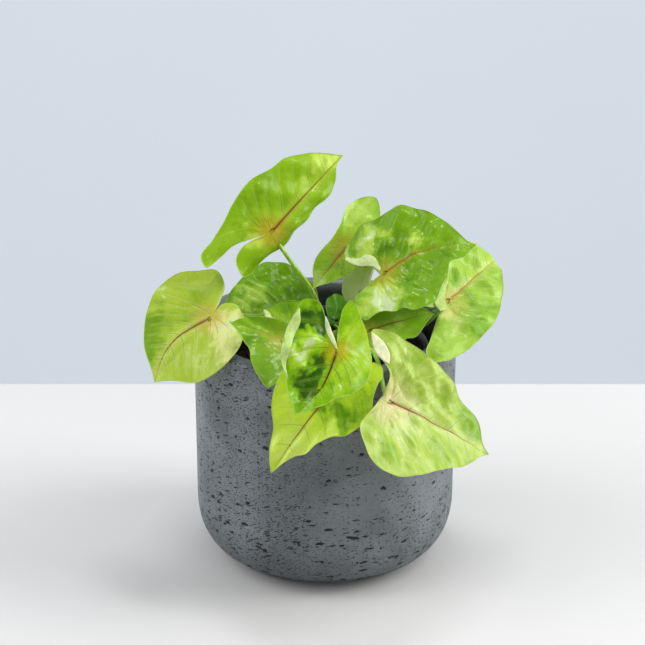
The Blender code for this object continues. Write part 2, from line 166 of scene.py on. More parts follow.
@dataclass
class Leaf:
    """One leaf in millimetres and degrees, drawn flat and then bent and set in place, as in the solids."""

    name: str
    tone: str
    at: tuple
    heading: float
    pitch: float
    roll: float
    length: float
    left: tuple
    right: tuple
    shoot: str
    seat: float
    via: tuple
    sinus: tuple = (180, 3)
    bends: tuple = ()
    wave: tuple = (0.8, 3.0)
    stalk: float = 1.3
    detail: int = 2


LEAVES = (
    Leaf("leaf_top_left", FRESH, (-30, 0, 195), 39, 35, 42, 65,
         left=((5, 61.5), (12, 56.5), (20, 50), (31, 44), (43, 36), (62, 32), (99, 27), (120, 27.5),
               (141, 34), (154, 44), (161, 43.5), (160, 35), (153, 24)),
         right=((2, 56), (9, 48.5), (17, 40.5), (24, 29), (40, 20.5), (70, 16.5), (110, 16.5), (141, 20),
                (160, 27), (172, 30.5), (188, 27), (200, 19)),
         sinus=(157, 4), bends=((90, 1, 9, 14), (-95, 1, 8, -75), (0, 8, 60, -12)),
         shoot="shoot_back", seat=180, via=((0, 12, 132), (-7, 6, 156), (-20, 3, 177))),
    Leaf("leaf_far_left", PALE, (-64, -28, 154), -140, -33, -21, 48,
         left=((17, 43), (35, 40), (55, 35), (75, 29), (92, 25), (113, 22), (137, 18), (165, 16), (185, 12)),
         right=((21, 41), (38, 38), (60, 36), (84, 36), (106, 35), (126, 31), (148, 29), (157, 24),
                (163, 13)),
         sinus=(192, 3), bends=((90, 0, 10, 8), (-90, 0, 10, 8), (0, 8, 50, -10)),
         shoot="shoot_left", seat=180, via=((-19, -12, 128), (-37, -26, 143))),
    Leaf("leaf_mid_left", FRESH, (-22, 2, 145), -171, 2, -25, 42,
         left=((19, 31), (44, 23), (70, 18), (105, 14), (140, 14), (168, 9)),
         right=((21, 36), (33, 35), (55, 35), (79, 37), (103, 33), (133, 26), (155, 21), (170, 10)),
         bends=((90, 0, 10, 10), (-90, 0, 10, 10), (0, 8, 50, -10)),
         shoot="shoot_left", seat=90, via=((-16, 6, 128),)),
    Leaf("leaf_rim_left", FRESH, (-23, -52, 150), 166, 17, -30, 32,
         left=((22, 22), (40, 20), (67, 25), (84, 30), (97, 33), (106, 28), (120, 19), (145, 10)),
         right=((20, 22), (50, 14), (90, 11), (130, 11), (160, 8)),
         bends=((90, 0, 10, 8), (-90, 1, 6, 40)),
         shoot="shoot_left", seat=270, via=((-15, -22, 126), (-19, -42, 143))),
    Leaf("leaf_front_upper", FRESH, (6, -84, 158), -136, -41, -33, 41,
         left=((15, 33), (30, 27), (50, 25.5), (72, 25), (90, 22), (108, 19.5), (132, 17.5), (159, 19.5),
               (177, 22.5), (190, 27.5), (197, 29.5), (203, 25), (207, 17)),
         right=((15, 35), (28, 30.5), (45, 30), (62, 29.5), (80, 29), (94, 29.5), (104, 31), (114, 33),
                (126, 29), (130, 18)),
         sinus=(215, 3), bends=((90, 0, 10, 12), (-90, 0, 10, 12), (0, 8, 50, -10)),
         shoot="shoot_front", seat=180, via=((2, -26, 138), (3, -56, 156))),
    Leaf("leaf_front_lower", FRESH, (13, -78, 143), -150, -44, -46, 69,
         left=((2.5, 59), (5, 54), (10, 49.5), (14, 42), (23, 36), (36, 34.5), (47, 31), (66, 25), (84, 19),
               (105, 17.3), (122, 18), (140, 17.3), (160, 11)),
         right=((4, 64), (8, 59.5), (16, 50.5), (30, 45), (55, 35), (75, 26), (100, 18), (130, 14), (160, 9)),
         bends=((90, 0, 10, 12), (-90, 0, 10, 12), (0, 8, 50, -10)),
         shoot="shoot_front", seat=300, via=((8, -28, 128), (11, -56, 143))),
    Leaf("leaf_front_right", PALE, (34, -84, 129), 14, -31, 52, 74,
         left=((12, 63), (22, 50), (45, 40), (70, 35), (93, 35), (113, 38), (125, 39), (128, 33),
               (122, 24), (107, 15)),
         right=((14, 59.5), (22, 52), (34, 46), (51, 43), (70, 42), (87, 40), (98, 37), (107, 31.5),
                (124, 26), (131, 15)),
         sinus=(150, 4), bends=((90, 0, 10, 10), (-90, 0, 10, 10), (0, 8, 50, -14)),
         shoot="shoot_front", seat=30, via=((15, -38, 138), (27, -66, 148))),
    Leaf("leaf_top_right", DEEP, (33, -5, 172), 1, 21, 32, 55,
         left=((12, 49), (31, 46), (64, 42), (85, 36), (110, 32), (126, 29), (137, 26), (140, 21), (138, 14),
               (128, 8)),
         right=((3, 50), (9, 46), (13, 39), (27, 38), (43, 38.5), (60, 40.5), (72, 37.5), (84, 29.5),
                (97, 27), (108, 31), (122, 33), (135, 27), (151, 21.5), (165, 11)),
         sinus=(160, 2.2), bends=((90, 0, 10, 10), (-90, 0, 10, 10), (0, 8, 50, -10)),
         shoot="shoot_right", seat=150, via=((18, 0, 138), (25, -3, 158))),
    Leaf("leaf_far_right", FRESH, (69, -12, 158), 50, 15, 35, 54,
         left=((10, 50), (18, 49), (29, 43), (50, 34.5), (80, 28), (110, 25), (140, 22), (162, 12)),
         right=((10, 44), (23, 38), (40, 32.5), (57, 30), (83, 28.5), (108, 30.5), (127, 35), (145, 42.5),
                (154, 45), (160, 41), (161, 33), (163, 22), (166, 14)),
         bends=((90, 0, 10, 10), (-90, 0, 10, 10), (0, 41, 12, -80)),
         shoot="shoot_right", seat=30, via=((34, -2, 129), (57, -9, 143))),
    Leaf("leaf_top_middle", FRESH, (12, 28, 175), -135, -32, -24, 32,
         left=((15, 25), (40, 20), (80, 17), (120, 17), (150, 15), (168, 8)),
         right=((28, 20), (52, 13), (80, 10), (122, 13), (147, 27.5), (160, 34), (171, 37), (184, 31)),
         bends=((90, 0, 8, 25), (-90, 0, 8, 25), (0, 8, 40, -15)),
         shoot="shoot_back", seat=60, via=((14, 24, 132), (18, 31, 155))),
    Leaf("leaf_folded_left", FRESH, (-15, -26, 143), -176, 40, -50, 25,
         left=((20, 21), (50, 17), (90, 13), (130, 8), (160, 5)),
         right=((15, 22), (40, 20), (75, 19), (110, 17), (145, 11), (165, 6)),
         bends=((90, 0, 6, 15), (-90, 0, 6, 15), (90, 8, 6, 120)),
         shoot="shoot_left", seat=0, via=((-11, -8, 135),), stalk=1.1, detail=1),
    Leaf("leaf_rim_right", PALE, (24, -27, 146), 2, 19, 25, 38,
         left=((15, 30), (40, 17), (80, 11), (120, 9), (160, 6)),
         right=((18, 33), (40, 26), (70, 22), (105, 18), (140, 13), (165, 7)),
         bends=((90, 0, 6, 75), (-90, 0, 10, 10), (0, 8, 30, -10)),
         shoot="shoot_right", seat=270, via=((18, -10, 131),), detail=1),
    Leaf("leaf_under_right", DEEP, (38, 10, 150), -20, 0, 10, 34,
         left=((20, 28), (50, 22), (90, 18), (130, 16), (160, 8)),
         right=((20, 28), (50, 22), (90, 18), (130, 14), (160, 8)),
         bends=((90, 0, 8, 12), (-90, 0, 8, 12)),
         shoot="shoot_right", seat=85, via=((23, 13, 130),), stalk=1.1, detail=1),
    Leaf("leaf_young_rolled", PALE, (20, 18, 151), 60, 62, 0, 24,
         left=((20, 22), (60, 14), (100, 11), (140, 9), (165, 5)),
         right=((20, 22), (60, 14), (100, 11), (140, 9), (165, 5)),
         bends=((90, 0, 10, 70), (-90, 0, 10, 70)),
         shoot="shoot_back", seat=300, via=((15, 17, 134),), stalk=1.1, detail=1),
    Leaf("leaf_small_dark_1", DEEP, (8, 38, 131), 100, 40, 0, 13,
         left=((30, 11), (70, 8), (120, 7), (155, 5)),
         right=((30, 11), (70, 8), (120, 7), (155, 5)),
         bends=((90, 0, 6, 12), (-90, 0, 6, 12)),
         shoot="shoot_small", seat=90, via=(), stalk=0.9, detail=0),
    Leaf("leaf_small_dark_2", DEEP, (3, 31, 128), -150, 10, 0, 13,
         left=((30, 11), (70, 8), (120, 7), (155, 5)),
         right=((30, 11), (70, 8), (120, 7), (155, 5)),
         bends=((90, 0, 6, 12), (-90, 0, 6, 12)),
         shoot="shoot_small", seat=240, via=(), stalk=0.9, detail=0),
)


@dataclass
class Finish:
    """Colours and relief of one leaf. Colours are linear light, and lengths and relief are in millimetres.

    A patch is (x, y, size, amount) on the flat blade: light where the amount is above 0, dark where it is
    below. Patches are partly the leaf's own pale and dark tone and partly painted highlights and painted
    shade in its hollows and folds. Where the amount goes past about 1, the colour turns to the painted
    highlight. A swell is (x, y, size, lift) in the same way. bow is how far the midrib's middle stands off a
    straight line. nib is how much of the tip's breadth is taken off.
    """

    main: tuple
    light: tuple
    dark: tuple
    # The palest colour, a painted highlight
    painted_highlight: tuple = srgb(214, 232, 186)
    rib: tuple = srgb(122, 58, 22)
    blush: tuple = srgb(206, 150, 70)
    under: tuple = srgb(196, 222, 128)
    rib_strength: float = 0.75
    rib_pale: float = 0.25
    vein_strength: float = 0.4
    blush_strength: float = 0.3
    blush_reach: float = 15.0
    fingers: float = 0.0
    speckle: float = 0.2
    quilt: float = 0.35
    crinkle: float = 0.45
    frill: float = 0.7
    roughness: float = 0.40
    bow: float = 0.0
    nib: float = 0.3
    patches: tuple = ()
    swells: tuple = ()


SMALL_DARK = Finish(
    srgb(66, 122, 4), srgb(92, 150, 18), srgb(40, 84, 2), rib=srgb(90, 140, 20), rib_strength=0.2,
    blush_strength=0.0, vein_strength=0.0, quilt=0.0, crinkle=0.12, under=srgb(86, 144, 12),
)
# Many light patches below are painted highlights and many dark ones are painted shade in hollows and folds,
# besides the leaf's own tone
FINISHES = {
    "leaf_top_left": Finish(
        srgb(134, 174, 10), srgb(188, 212, 80), srgb(100, 150, 4), rib=srgb(128, 44, 10),
        rib_strength=0.95, rib_pale=0.4, vein_strength=0.65, blush=srgb(206, 120, 44), blush_strength=0.5,
        quilt=0.45, crinkle=0.8, roughness=0.40,
        patches=((50, 7, 7, 0.9), (60, 2, 6, 0.6), (32, 6, 7, 0.4), (-10, 5, 7, 0.8), (-36, 13, 8, 0.3),
                 (20, 22, 10, -0.6), (48, -8, 8, -0.3), (0, 22, 9, -0.4)),
        swells=((22, 17, 10, 1.0), (-8, 14, 8, -0.8)),
    ),
    "leaf_far_left": Finish(
        srgb(166, 190, 56), srgb(222, 230, 140), srgb(110, 152, 14), rib=srgb(122, 54, 6),
        rib_strength=1.0, rib_pale=0.35, vein_strength=0.6, blush=srgb(196, 134, 76), blush_strength=0.5,
        fingers=0.1, speckle=0.8, quilt=0.25, crinkle=0.45, roughness=0.5, bow=-7.0,
        patches=((-1, 11, 9, 1.6), (10, 23, 8, 1.0), (-5, -15, 8, -0.4), (8, -11, 6, -0.5),
                 (36, -17, 12, -1.1), (20, -24, 9, -0.7), (-18, -20, 8, -0.3), (24, 10, 9, 0.4)),
    ),
    "leaf_mid_left": Finish(
        srgb(104, 152, 2), srgb(168, 202, 74), srgb(74, 126, 2), rib=srgb(196, 206, 110), rib_strength=0.5,
        rib_pale=0.3, vein_strength=0.3, blush_strength=0.1, quilt=0.6, crinkle=1.2, roughness=0.30,
        patches=((19, -14, 8, 1.0), (27, -6, 6, 0.6), (11, -31, 8, 0.1), (-9, -10, 9, -0.9)),
        swells=((19, -14, 8, 1.2), (3, -20, 7, -1.2)),
    ),
    "leaf_rim_left": Finish(
        srgb(116, 162, 8), srgb(158, 200, 44), srgb(86, 136, 4), rib=srgb(190, 160, 80), rib_strength=0.6,
        vein_strength=0.3, blush=srgb(210, 170, 90), quilt=0.3, crinkle=0.6, roughness=0.34,
        patches=((-3, 28, 9, 0.3), (16, 4, 6, -0.8), (-3, 10, 5, 0.2)),
    ),
    "leaf_front_upper": Finish(
        srgb(130, 182, 4), srgb(172, 212, 40), srgb(40, 88, 0), rib=srgb(80, 24, 4), rib_strength=1.0,
        rib_pale=0.1, vein_strength=0.65, blush=srgb(214, 140, 20), blush_strength=0.5, blush_reach=11.0,
        quilt=0.45, crinkle=1.1, roughness=0.28, bow=4.0,
        patches=((-14, 8, 14, 0.9), (0, 12, 11, 0.8), (12, 12, 9, 0.6), (22, 10, 6, 0.2), (22, 0, 5, -1.5),
                 (8, -5, 5, -1.5), (25, -4, 5, -1.1), (18, -3, 5, -1.4), (-7, -20, 8, -1.3),
                 (-7, -14, 6, -0.6), (4, -14, 6, 1.9), (14, -16, 6, 1.8), (8, -21, 4, -0.9),
                 (-6, 19, 6, 0.4), (34, 2, 5, -0.3)),
        swells=((4, -15, 6, 1.0), (14, -15, 6, 0.8), (9, -6, 5, -1.0), (20, -6, 7, -1.2), (-8, -12, 6, -0.9)),
    ),
    "leaf_front_lower": Finish(
        srgb(200, 236, 58), srgb(216, 242, 98), srgb(100, 154, 4), rib=srgb(140, 62, 10), rib_strength=0.9,
        rib_pale=0.1, vein_strength=0.5, blush=srgb(206, 150, 40), quilt=0.5, crinkle=0.9, roughness=0.36,
        bow=-1.5, nib=0.0,
        patches=((55, 0, 14, 1.0), (34, -14, 8, 0.6), (45, 2, 8, 0.4), (38, 12, 8, 0.7), (20, 14, 8, -0.9),
                 (4, 18, 8, -0.4), (22, -4, 8, -1.0)),
        swells=((28, 12, 6, 0.8), (18, 16, 5, -0.7)),
    ),
    "leaf_front_right": Finish(
        srgb(168, 194, 76), srgb(206, 220, 142), srgb(122, 166, 22), painted_highlight=srgb(226, 228, 190),
        rib=srgb(132, 58, 16), rib_strength=0.9, rib_pale=0.5, vein_strength=0.6,
        blush=srgb(226, 200, 160), blush_strength=0.7, blush_reach=22.0,
        fingers=0.45, speckle=0.3, quilt=0.28, crinkle=0.7, roughness=0.40, under=srgb(224, 234, 166),
        patches=((62, 8, 8, -1.2), (52, 14, 8, -0.9), (6, 10, 6, -0.5), (34, 17, 9, -0.3), (16, 4, 5, 0.6),
                 (14, -12, 9, 0.8), (36, -16, 12, -0.4), (4, -30, 9, -0.5), (-18, 27, 6, 0.6),
                 (2, 24, 7, 0.4)),
        swells=((20, 14, 9, 0.9), (40, 12, 8, -0.7)),
    ),
    "leaf_top_right": Finish(
        srgb(112, 160, 2), srgb(172, 204, 70), srgb(76, 128, 2), rib=srgb(164, 76, 12), rib_strength=0.9,
        rib_pale=0.2, vein_strength=0.5, blush=srgb(200, 140, 36), blush_strength=0.45, quilt=0.7,
        crinkle=1.4, roughness=0.28, bow=5.5,
        patches=((-4, -18, 13, 1.7), (-4, -28, 7, 0.9), (-2, 25, 7, 1.5), (-9, 14, 6, 1.2), (8, 24, 4, 0.7),
                 (22, 14, 5, 1.1), (32, 8, 4, 0.6), (36, 0, 9, -0.6), (14, 4, 7, -0.7), (4, 16, 6, -0.9),
                 (14, -12, 7, -0.7), (18, -24, 6, -0.5)),
        swells=((22, 15, 6, 1.0), (4, 22, 6, 1.1), (14, -18, 7, 0.7), (-4, 28, 5, -0.8)),
    ),
    "leaf_far_right": Finish(
        srgb(158, 196, 66), srgb(204, 220, 124), srgb(112, 164, 16), rib=srgb(184, 110, 40), rib_strength=0.8,
        rib_pale=0.4, vein_strength=0.5, blush=srgb(220, 180, 100), blush_strength=0.45, fingers=0.2,
        quilt=0.5, crinkle=0.9, roughness=0.34,
        patches=((-9, -9, 7, 1.2), (-3, -25, 7, -1.2), (14, -20, 8, -0.6), (-33, -17, 8, -0.5),
                 (35, 11, 8, 0.2), (8, -8, 5, -0.6), (16, 6, 5, -0.6)),
    ),
    "leaf_top_middle": Finish(
        srgb(146, 186, 36), srgb(180, 210, 96), srgb(88, 140, 4), rib=srgb(140, 54, 14), rib_strength=0.8,
        blush=srgb(160, 96, 40), blush_strength=0.6, quilt=0.4, crinkle=0.5,
        patches=((-26, -9, 10, 1.0), (-14, -8, 8, 0.5), (14, 2, 8, -0.6), (30, 1, 5, 1.8), (23, -4, 5, 1.2)),
    ),
    "leaf_folded_left": Finish(
        srgb(132, 180, 10), srgb(180, 214, 84), srgb(78, 132, 2), quilt=0.45, crinkle=0.8, roughness=0.3,
        patches=((16, -9, 6, -0.8), (20, 3, 5, 0.5)),
    ),
    "leaf_rim_right": Finish(
        srgb(120, 166, 16), srgb(178, 206, 88), srgb(84, 132, 6), quilt=0.25, patches=((16, -3, 9, 0.5),),
    ),
    "leaf_under_right": Finish(
        srgb(66, 118, 4), srgb(104, 154, 22), srgb(36, 80, 2), quilt=0.25, crinkle=0.3,
    ),
    # The young rolled leaf is pale, and its colours are lighter still as painted light for the backlight
    # shining through it
    "leaf_young_rolled": Finish(
        srgb(230, 242, 186), srgb(240, 248, 206), srgb(200, 224, 130), rib=srgb(190, 214, 124),
        rib_strength=0.3, blush_strength=0.0, vein_strength=0.1, quilt=0.1, crinkle=0.2, roughness=0.45,
        under=srgb(236, 246, 190),
    ),
    "leaf_small_dark_1": SMALL_DARK,
    "leaf_small_dark_2": SMALL_DARK,
}


@dataclass
class Flap:
    """A strip of margin rolled back over the blade, between two lines on the flat blade, as places in mm."""

    outer: tuple
    inner: tuple
    lift: float
    colour: tuple


FLAPS = {
    "leaf_front_right": (Flap(
        ((-22.8, 30.6), (-20.8, 26.7), (-16.6, 21.6), (-10.9, 19.0), (-7.0, 18.8)),
        ((-21.6, 30.6), (-16.5, 29.4), (-11.3, 26.3), (-8.4, 23.4), (-6.8, 19.2)), 0.45, srgb(250, 252, 204),
    ),),
    "leaf_front_upper": (Flap(
        ((-12.6, -15.6), (-6.6, -10.9), (-2.8, -5.0), (-0.9, -0.6)),
        ((-12.6, -14.9), (-9.0, -9.6), (-5.0, -4.6), (-1.4, -0.2)), 0.7, srgb(236, 246, 190),
    ), Flap(
        ((-8.0, -29.4), (-2.0, -29.6), (4.0, -29.0), (9.9, -27.4), (16.9, -24.6), (23.5, -18.6),
         (27.0, -13.6)),
        ((-7.4, -28.6), (-1.4, -24.4), (5.6, -23.4), (13.6, -21.2), (19.4, -19.4), (24.1, -16.2),
         (27.0, -13.0)),
        0.9, srgb(204, 234, 136),
    )),
    "leaf_top_right": (Flap(
        ((-18.8, 16.8), (-15.9, 13.2), (-10.4, 9.4), (-4.9, 6.4), (-1.6, 2.6)),
        ((-18.0, 18.6), (-12.4, 16.0), (-7.0, 14.8), (-2.6, 12.2), (-0.8, 4.4)), 0.7, srgb(222, 240, 168),
    ),),
    "leaf_far_right": (Flap(
        ((21.3, 17.6), (10.6, 11.6), (-2.1, 8.0), (-8.6, 3.6), (-9.6, -1.6)),
        ((20.9, 16.2), (10.5, 9.0), (3.8, 5.4), (-1.8, 1.0), (-4.6, -3.4)), 0.7, srgb(200, 224, 126),
    ),),
    "leaf_folded_left": (Flap(
        ((24.7, 0.6), (19.2, 6.4), (14.7, 9.2), (11.5, 12.4)),
        ((24.7, -0.4), (22.0, -0.6), (16.9, 2.9), (11.4, 11.6)), 0.8, srgb(206, 228, 150),
    ),),
}


# Settings


class PlanterSettings(PropertyGroup):
    colour: FloatVectorProperty(
        name="Colour", description="Even colour of the dry planter", subtype="COLOR", size=3,
        min=0.0, max=1.0, default=(0.136, 0.154, 0.166),
    )
    pit_depth: FloatProperty(
        name="Pit depth", description="Depth of the deepest pits", unit="LENGTH", subtype="DISTANCE",
        min=0.0, max=0.003, default=0.0011,
    )
    pit_count: IntProperty(
        name="Pits", description="Number of the larger pits round the wall", min=0, max=2000, default=620,
    )


class PotSettings(PropertyGroup):
    colour: FloatVectorProperty(
        name="Colour", description="Colour of the nursery pot", subtype="COLOR", size=3,
        min=0.0, max=1.0, default=(0.010, 0.011, 0.012),
    )


class MixSettings(PropertyGroup):
    crumbs: IntProperty(
        name="Crumbs", description="Number of loose crumbs on the potting mix", min=0, max=6000, default=2400,
    )
    pale_crumbs: IntProperty(
        name="Pale crumbs", description="Number of white mineral crumbs", min=0, max=400, default=70,
    )
    colour: FloatVectorProperty(
        name="Colour", description="Colour of the potting mix", subtype="COLOR", size=3,
        min=0.0, max=1.0, default=(0.030, 0.019, 0.012),
    )


class LeafSettings(PropertyGroup):
    stalk_colour: FloatVectorProperty(
        name="Stalk colour", description="Colour of the leaf stalks", subtype="COLOR", size=3,
        min=0.0, max=1.0, default=srgb(158, 198, 66),
    )
    relief: FloatProperty(
        name="Relief", description="Share of each leaf's own quilting and crinkling", subtype="FACTOR",
        min=0.0, max=2.0, default=1.0,
    )
    glow: FloatProperty(
        name="Glow", description="Share of light that passes through the blades", subtype="FACTOR",
        min=0.0, max=1.0, default=0.25,
    )


class StageSettings(PropertyGroup):
    floor_colour: FloatVectorProperty(
        name="Floor", description="Colour of the floor", subtype="COLOR", size=3,
        min=0.0, max=1.0, default=(0.765, 0.755, 0.75),
    )
    backdrop_colour: FloatVectorProperty(
        name="Backdrop", description="Colour of the backdrop", subtype="COLOR", size=3,
        min=0.0, max=1.0, default=(0.74, 0.81, 0.88),
    )
    key_power: FloatProperty(
        name="Key lights", description="Power that the lights on the right and overhead have a share of each",
        unit="POWER", min=0.0, max=500.0, default=12.0,
    )
    fill_power: FloatProperty(
        name="Fill lights", description="Power that the lights on the left have a share of each",
        unit="POWER", min=0.0, max=500.0, default=7.5,
    )
    sky: FloatProperty(
        name="Sky", description="Strength of the even light from all round", min=0.0, max=5.0, default=0.35,
    )


def settings(part):
    """The user's settings for one part, as register keeps them on the scene."""
    return getattr(bpy.context.scene, "syngonium_" + part)


# Meshes


def mesh_object(name, points, faces, materials, fields=None, face_materials=None, smooth=True):
    """An object from points in millimetres, with named values on its points for the materials to read."""
    mesh = bpy.data.meshes.new(name)
    mesh.from_pydata((np.asarray(points, float) * MM).tolist(), [], faces)
    for material in materials:
        mesh.materials.append(material)
    if face_materials is not None:
        mesh.polygons.foreach_set("material_index", np.asarray(face_materials, np.int32))
    for key, values in (fields or {}).items():
        values = np.asarray(values, np.float32)
        kind, slot = ("FLOAT_VECTOR", "vector") if values.ndim == 2 else ("FLOAT", "value")
        mesh.attributes.new(key, kind, "POINT").data.foreach_set(slot, values.ravel())
    if smooth:
        mesh.shade_smooth()
    obj = bpy.data.objects.new(name, mesh)
    bpy.context.scene.collection.objects.link(obj)
    return obj


def dress(obj, slot, *nodes):
    """Ties a piece to the body and hides the solids that it stands for. Its slot is not used."""
    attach(obj, ROOT)
    if nodes:
        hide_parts(*nodes)


def grid_faces(rows, columns, start=0):
    """Quads between rings of points that close on themselves."""
    faces = []
    for row in range(rows - 1):
        low = start + row * columns
        for column in range(columns):
            after = (column + 1) % columns
            faces.append((low + column, low + after, low + columns + after, low + columns + column))
    return faces


def capped(rings, first, last):
    """Points and faces of a closed skin over rings of points, with a fan to a point at either end."""
    rows, columns = len(rings), len(rings[0])
    points = np.concatenate([*rings, [first], [last]])
    faces = grid_faces(rows, columns)
    end = (rows - 1) * columns
    for column in range(columns):
        after = (column + 1) % columns
        faces.append((after, column, len(points) - 2))
        faces.append((end + column, end + after, len(points) - 1))
    return points, faces


def turned(profile, columns, from_inside=False):
    """Points and faces of a profile of (radius, height) turned round Z. It may start on the inner side."""
    turn = np.linspace(0, 2 * math.pi, columns, endpoint=False)
    rings = [np.column_stack([r * np.cos(turn), r * np.sin(turn), np.full(columns, h)]) for r, h in profile]
    points, faces = capped(rings, (0, 0, profile[0][1]), (0, 0, profile[-1][1]))
    return points, [face[::-1] for face in faces] if from_inside else faces


def tube(path, radii, sides):
    """Points and faces of a round tube with closed ends along a path."""
    path = np.asarray(path, float)
    along = np.gradient(path, axis=0)
    along /= np.linalg.norm(along, axis=1)[:, None]
    side = np.cross(along[0], (0.3, 0.9, 0.1))
    side /= np.linalg.norm(side)
    turn = np.linspace(0, 2 * math.pi, sides, endpoint=False)
    rings = []
    for place, ahead, radius in zip(path, along, radii):
        side = side - ahead * (side @ ahead)
        side /= np.linalg.norm(side)
        up = np.cross(ahead, side)
        rings.append(place + radius * (np.outer(np.cos(turn), side) + np.outer(np.sin(turn), up)))
    return capped(rings, path[0], path[-1])


def ripple(places, size, seed):
    """Smooth uneven values of about -1 to 1 over places, with bumps of about the given size."""
    draw = np.random.default_rng(seed)
    total = np.zeros(len(places))
    waves = 9
    for _ in range(waves):
        way = draw.normal(size=places.shape[1])
        way *= 2 * math.pi / (size * draw.uniform(0.7, 1.6) * np.linalg.norm(way))
        total += np.sin(places @ way + draw.uniform(0, 2 * math.pi))
    return total / math.sqrt(waves)


def step(values, low, high):
    """0 below low, 1 above high and a smooth rise between."""
    share = np.clip((values - low) / (high - low), 0, 1)
    return share * share * (3 - 2 * share)


# Leaf shape, as in the solids


def smooth_curve(points, count):
    """Evenly spaced points on one smooth open curve through the given ones."""
    points = np.asarray(points, float)
    chord = np.concatenate([[0], np.cumsum(np.linalg.norm(np.diff(points, axis=0), axis=1))])
    slope = np.gradient(points, chord, axis=0, edge_order=1)
    found = []
    for place in np.linspace(0, chord[-1], count):
        i = min(int(np.searchsorted(chord, place, side="right")) - 1, len(points) - 2)
        width = chord[i + 1] - chord[i]
        t = (place - chord[i]) / width
        found.append(
            (2 * t**3 - 3 * t**2 + 1) * points[i]
            + (t**3 - 2 * t**2 + t) * width * slope[i]
            + (3 * t**2 - 2 * t**3) * points[i + 1]
            + (t**3 - t**2) * width * slope[i + 1]
        )
    return np.array(found)


def polar(angle, distance, side=1):
    turn = math.radians(angle)
    return distance * math.cos(turn), side * distance * math.sin(turn)


def outline(leaf, count):
    """The flat margin of each side from the tip to the sinus, left side first."""
    sinus = polar(*leaf.sinus)
    sides = []
    for side, places in ((1, leaf.left), (-1, leaf.right)):
        points = [(leaf.length, 0), *(polar(*place, side) for place in places), sinus]
        sides.append(smooth_curve(points, count))
    return sides


def bent(points, heading, start, span, angle):
    """Turns what lies beyond a line up by the angle over the span, so that a flat blade keeps its lengths."""
    across = np.array(polar(heading, 1.0))
    level = np.array([-across[1], across[0]])
    out = points[:, :2] @ across
    beside = points[:, :2] @ level
    height = points[:, 2]
    rate = math.radians(angle) / span
    turned_by = rate * np.clip(out - start, 0, span)
    beyond = np.clip(out - start - span, 0, None)
    reach = np.minimum(out, start) + np.sin(turned_by) / rate
    reach += beyond * np.cos(turned_by) - height * np.sin(turned_by)
    lift = (1 - np.cos(turned_by)) / rate + beyond * np.sin(turned_by) + height * np.cos(turned_by)
    return np.column_stack([reach[:, None] * across + beside[:, None] * level, lift])


def axes(leaf):
    """The blade's midrib, left and upward directions in the world, as columns."""
    heading, pitch, roll = (math.radians(a) for a in (leaf.heading, leaf.pitch, leaf.roll))
    flat = math.cos(pitch)
    midrib = np.array([math.cos(heading) * flat, math.sin(heading) * flat, math.sin(pitch)])
    level = np.array([-math.sin(heading), math.cos(heading), 0.0])
    left = level * math.cos(roll) + np.cross(midrib, level) * math.sin(roll)
    return np.column_stack([midrib, left, np.cross(midrib, left)])


def formed(leaf, points):
    """World places in millimetres of points on, or off, the flat blade."""
    points = np.asarray(points, float)
    for bend in leaf.bends:
        points = bent(points, *bend)
    return points @ axes(leaf).T + np.array(leaf.at, float)


def edge_distance(places, margin):
    """Distance of each flat place from the closed margin."""
    ahead = np.roll(margin, -1, axis=0) - margin
    nearest = np.full(len(places), np.inf)
    for first, way in zip(margin, ahead):
        length = way @ way + 1e-12
        share = np.clip((places - first) @ way / length, 0, 1)
        gap = places - first - share[:, None] * way
        nearest = np.minimum(nearest, np.einsum("ij,ij->i", gap, gap))
    return np.sqrt(nearest)


def seed_of(leaf):
    """A seed of the leaf's own, so that no two are alike."""
    return sum(map(ord, leaf.name))


def midrib(leaf, finish, ahead):
    """How far the midrib stands off the straight line from the joint to the tip."""
    return finish.bow * np.sin(math.pi * np.clip(ahead / leaf.length, 0, 1))


def vein_field(leaf, finish, places):
    """Vein number at each flat place, whole on a side vein, and the millimetres from one vein to the next."""
    across = np.abs(places[:, 1] - midrib(leaf, finish, places[:, 0]))
    reach = places[:, 0] - VEIN_LEAN * across - VEIN_BEND * across**2 / leaf.length
    spacing = leaf.length / VEIN_COUNT
    fan = LOBE_FAN * np.hypot(*places.T) + 0.4
    pitch = np.where(reach > 0, spacing, fan)
    return reach / pitch, pitch, across


def spots(places, marks):
    """Sum of soft round spots, each (x, y, size, amount)."""
    total = np.zeros(len(places))
    for x, y, size, amount in marks:
        total += amount * np.exp(-((places[:, 0] - x) ** 2 + (places[:, 1] - y) ** 2) / size**2)
    return total


def warped(places, seed):
    """The places pushed about a little, so that round spots on them turn into natural shapes."""
    moved = places.copy()
    for axis in (0, 1):
        coarse, fine = ripple(places, 11.0, seed + 10 + axis), ripple(places, 4.0, seed + 20 + axis)
        moved[:, axis] += 2.2 * coarse + 0.7 * fine
    return moved


def patches_and_painted_light(leaf, finish, places, phase, across, edge):
    """How light or dark each place is made by the leaf's patches, partly its own tone and partly painted
    highlights and painted shade, and by painted light and shade on the quilted fields between its veins.
    """
    seed = seed_of(leaf)
    # Painted light and shade of the quilting: the fields between the veins lighter, the veins darker
    field = (np.sin(math.pi * phase) ** 2 - 0.5) * step(across, 1.5, 8.0) * step(edge, 0.5, 6.0)
    field *= np.clip(0.6 + 0.6 * ripple(places, 22.0, seed + 7), 0, None)
    streak = ripple(np.column_stack([phase * 14.0, 0.5 * across]), 5.0, seed + 5)
    # The patches, partly the leaf's own tone and partly painted highlights and painted shade
    marks = spots(warped(places, seed), finish.patches)
    return marks * (1 + 0.22 * streak) + 0.55 * finish.quilt * field


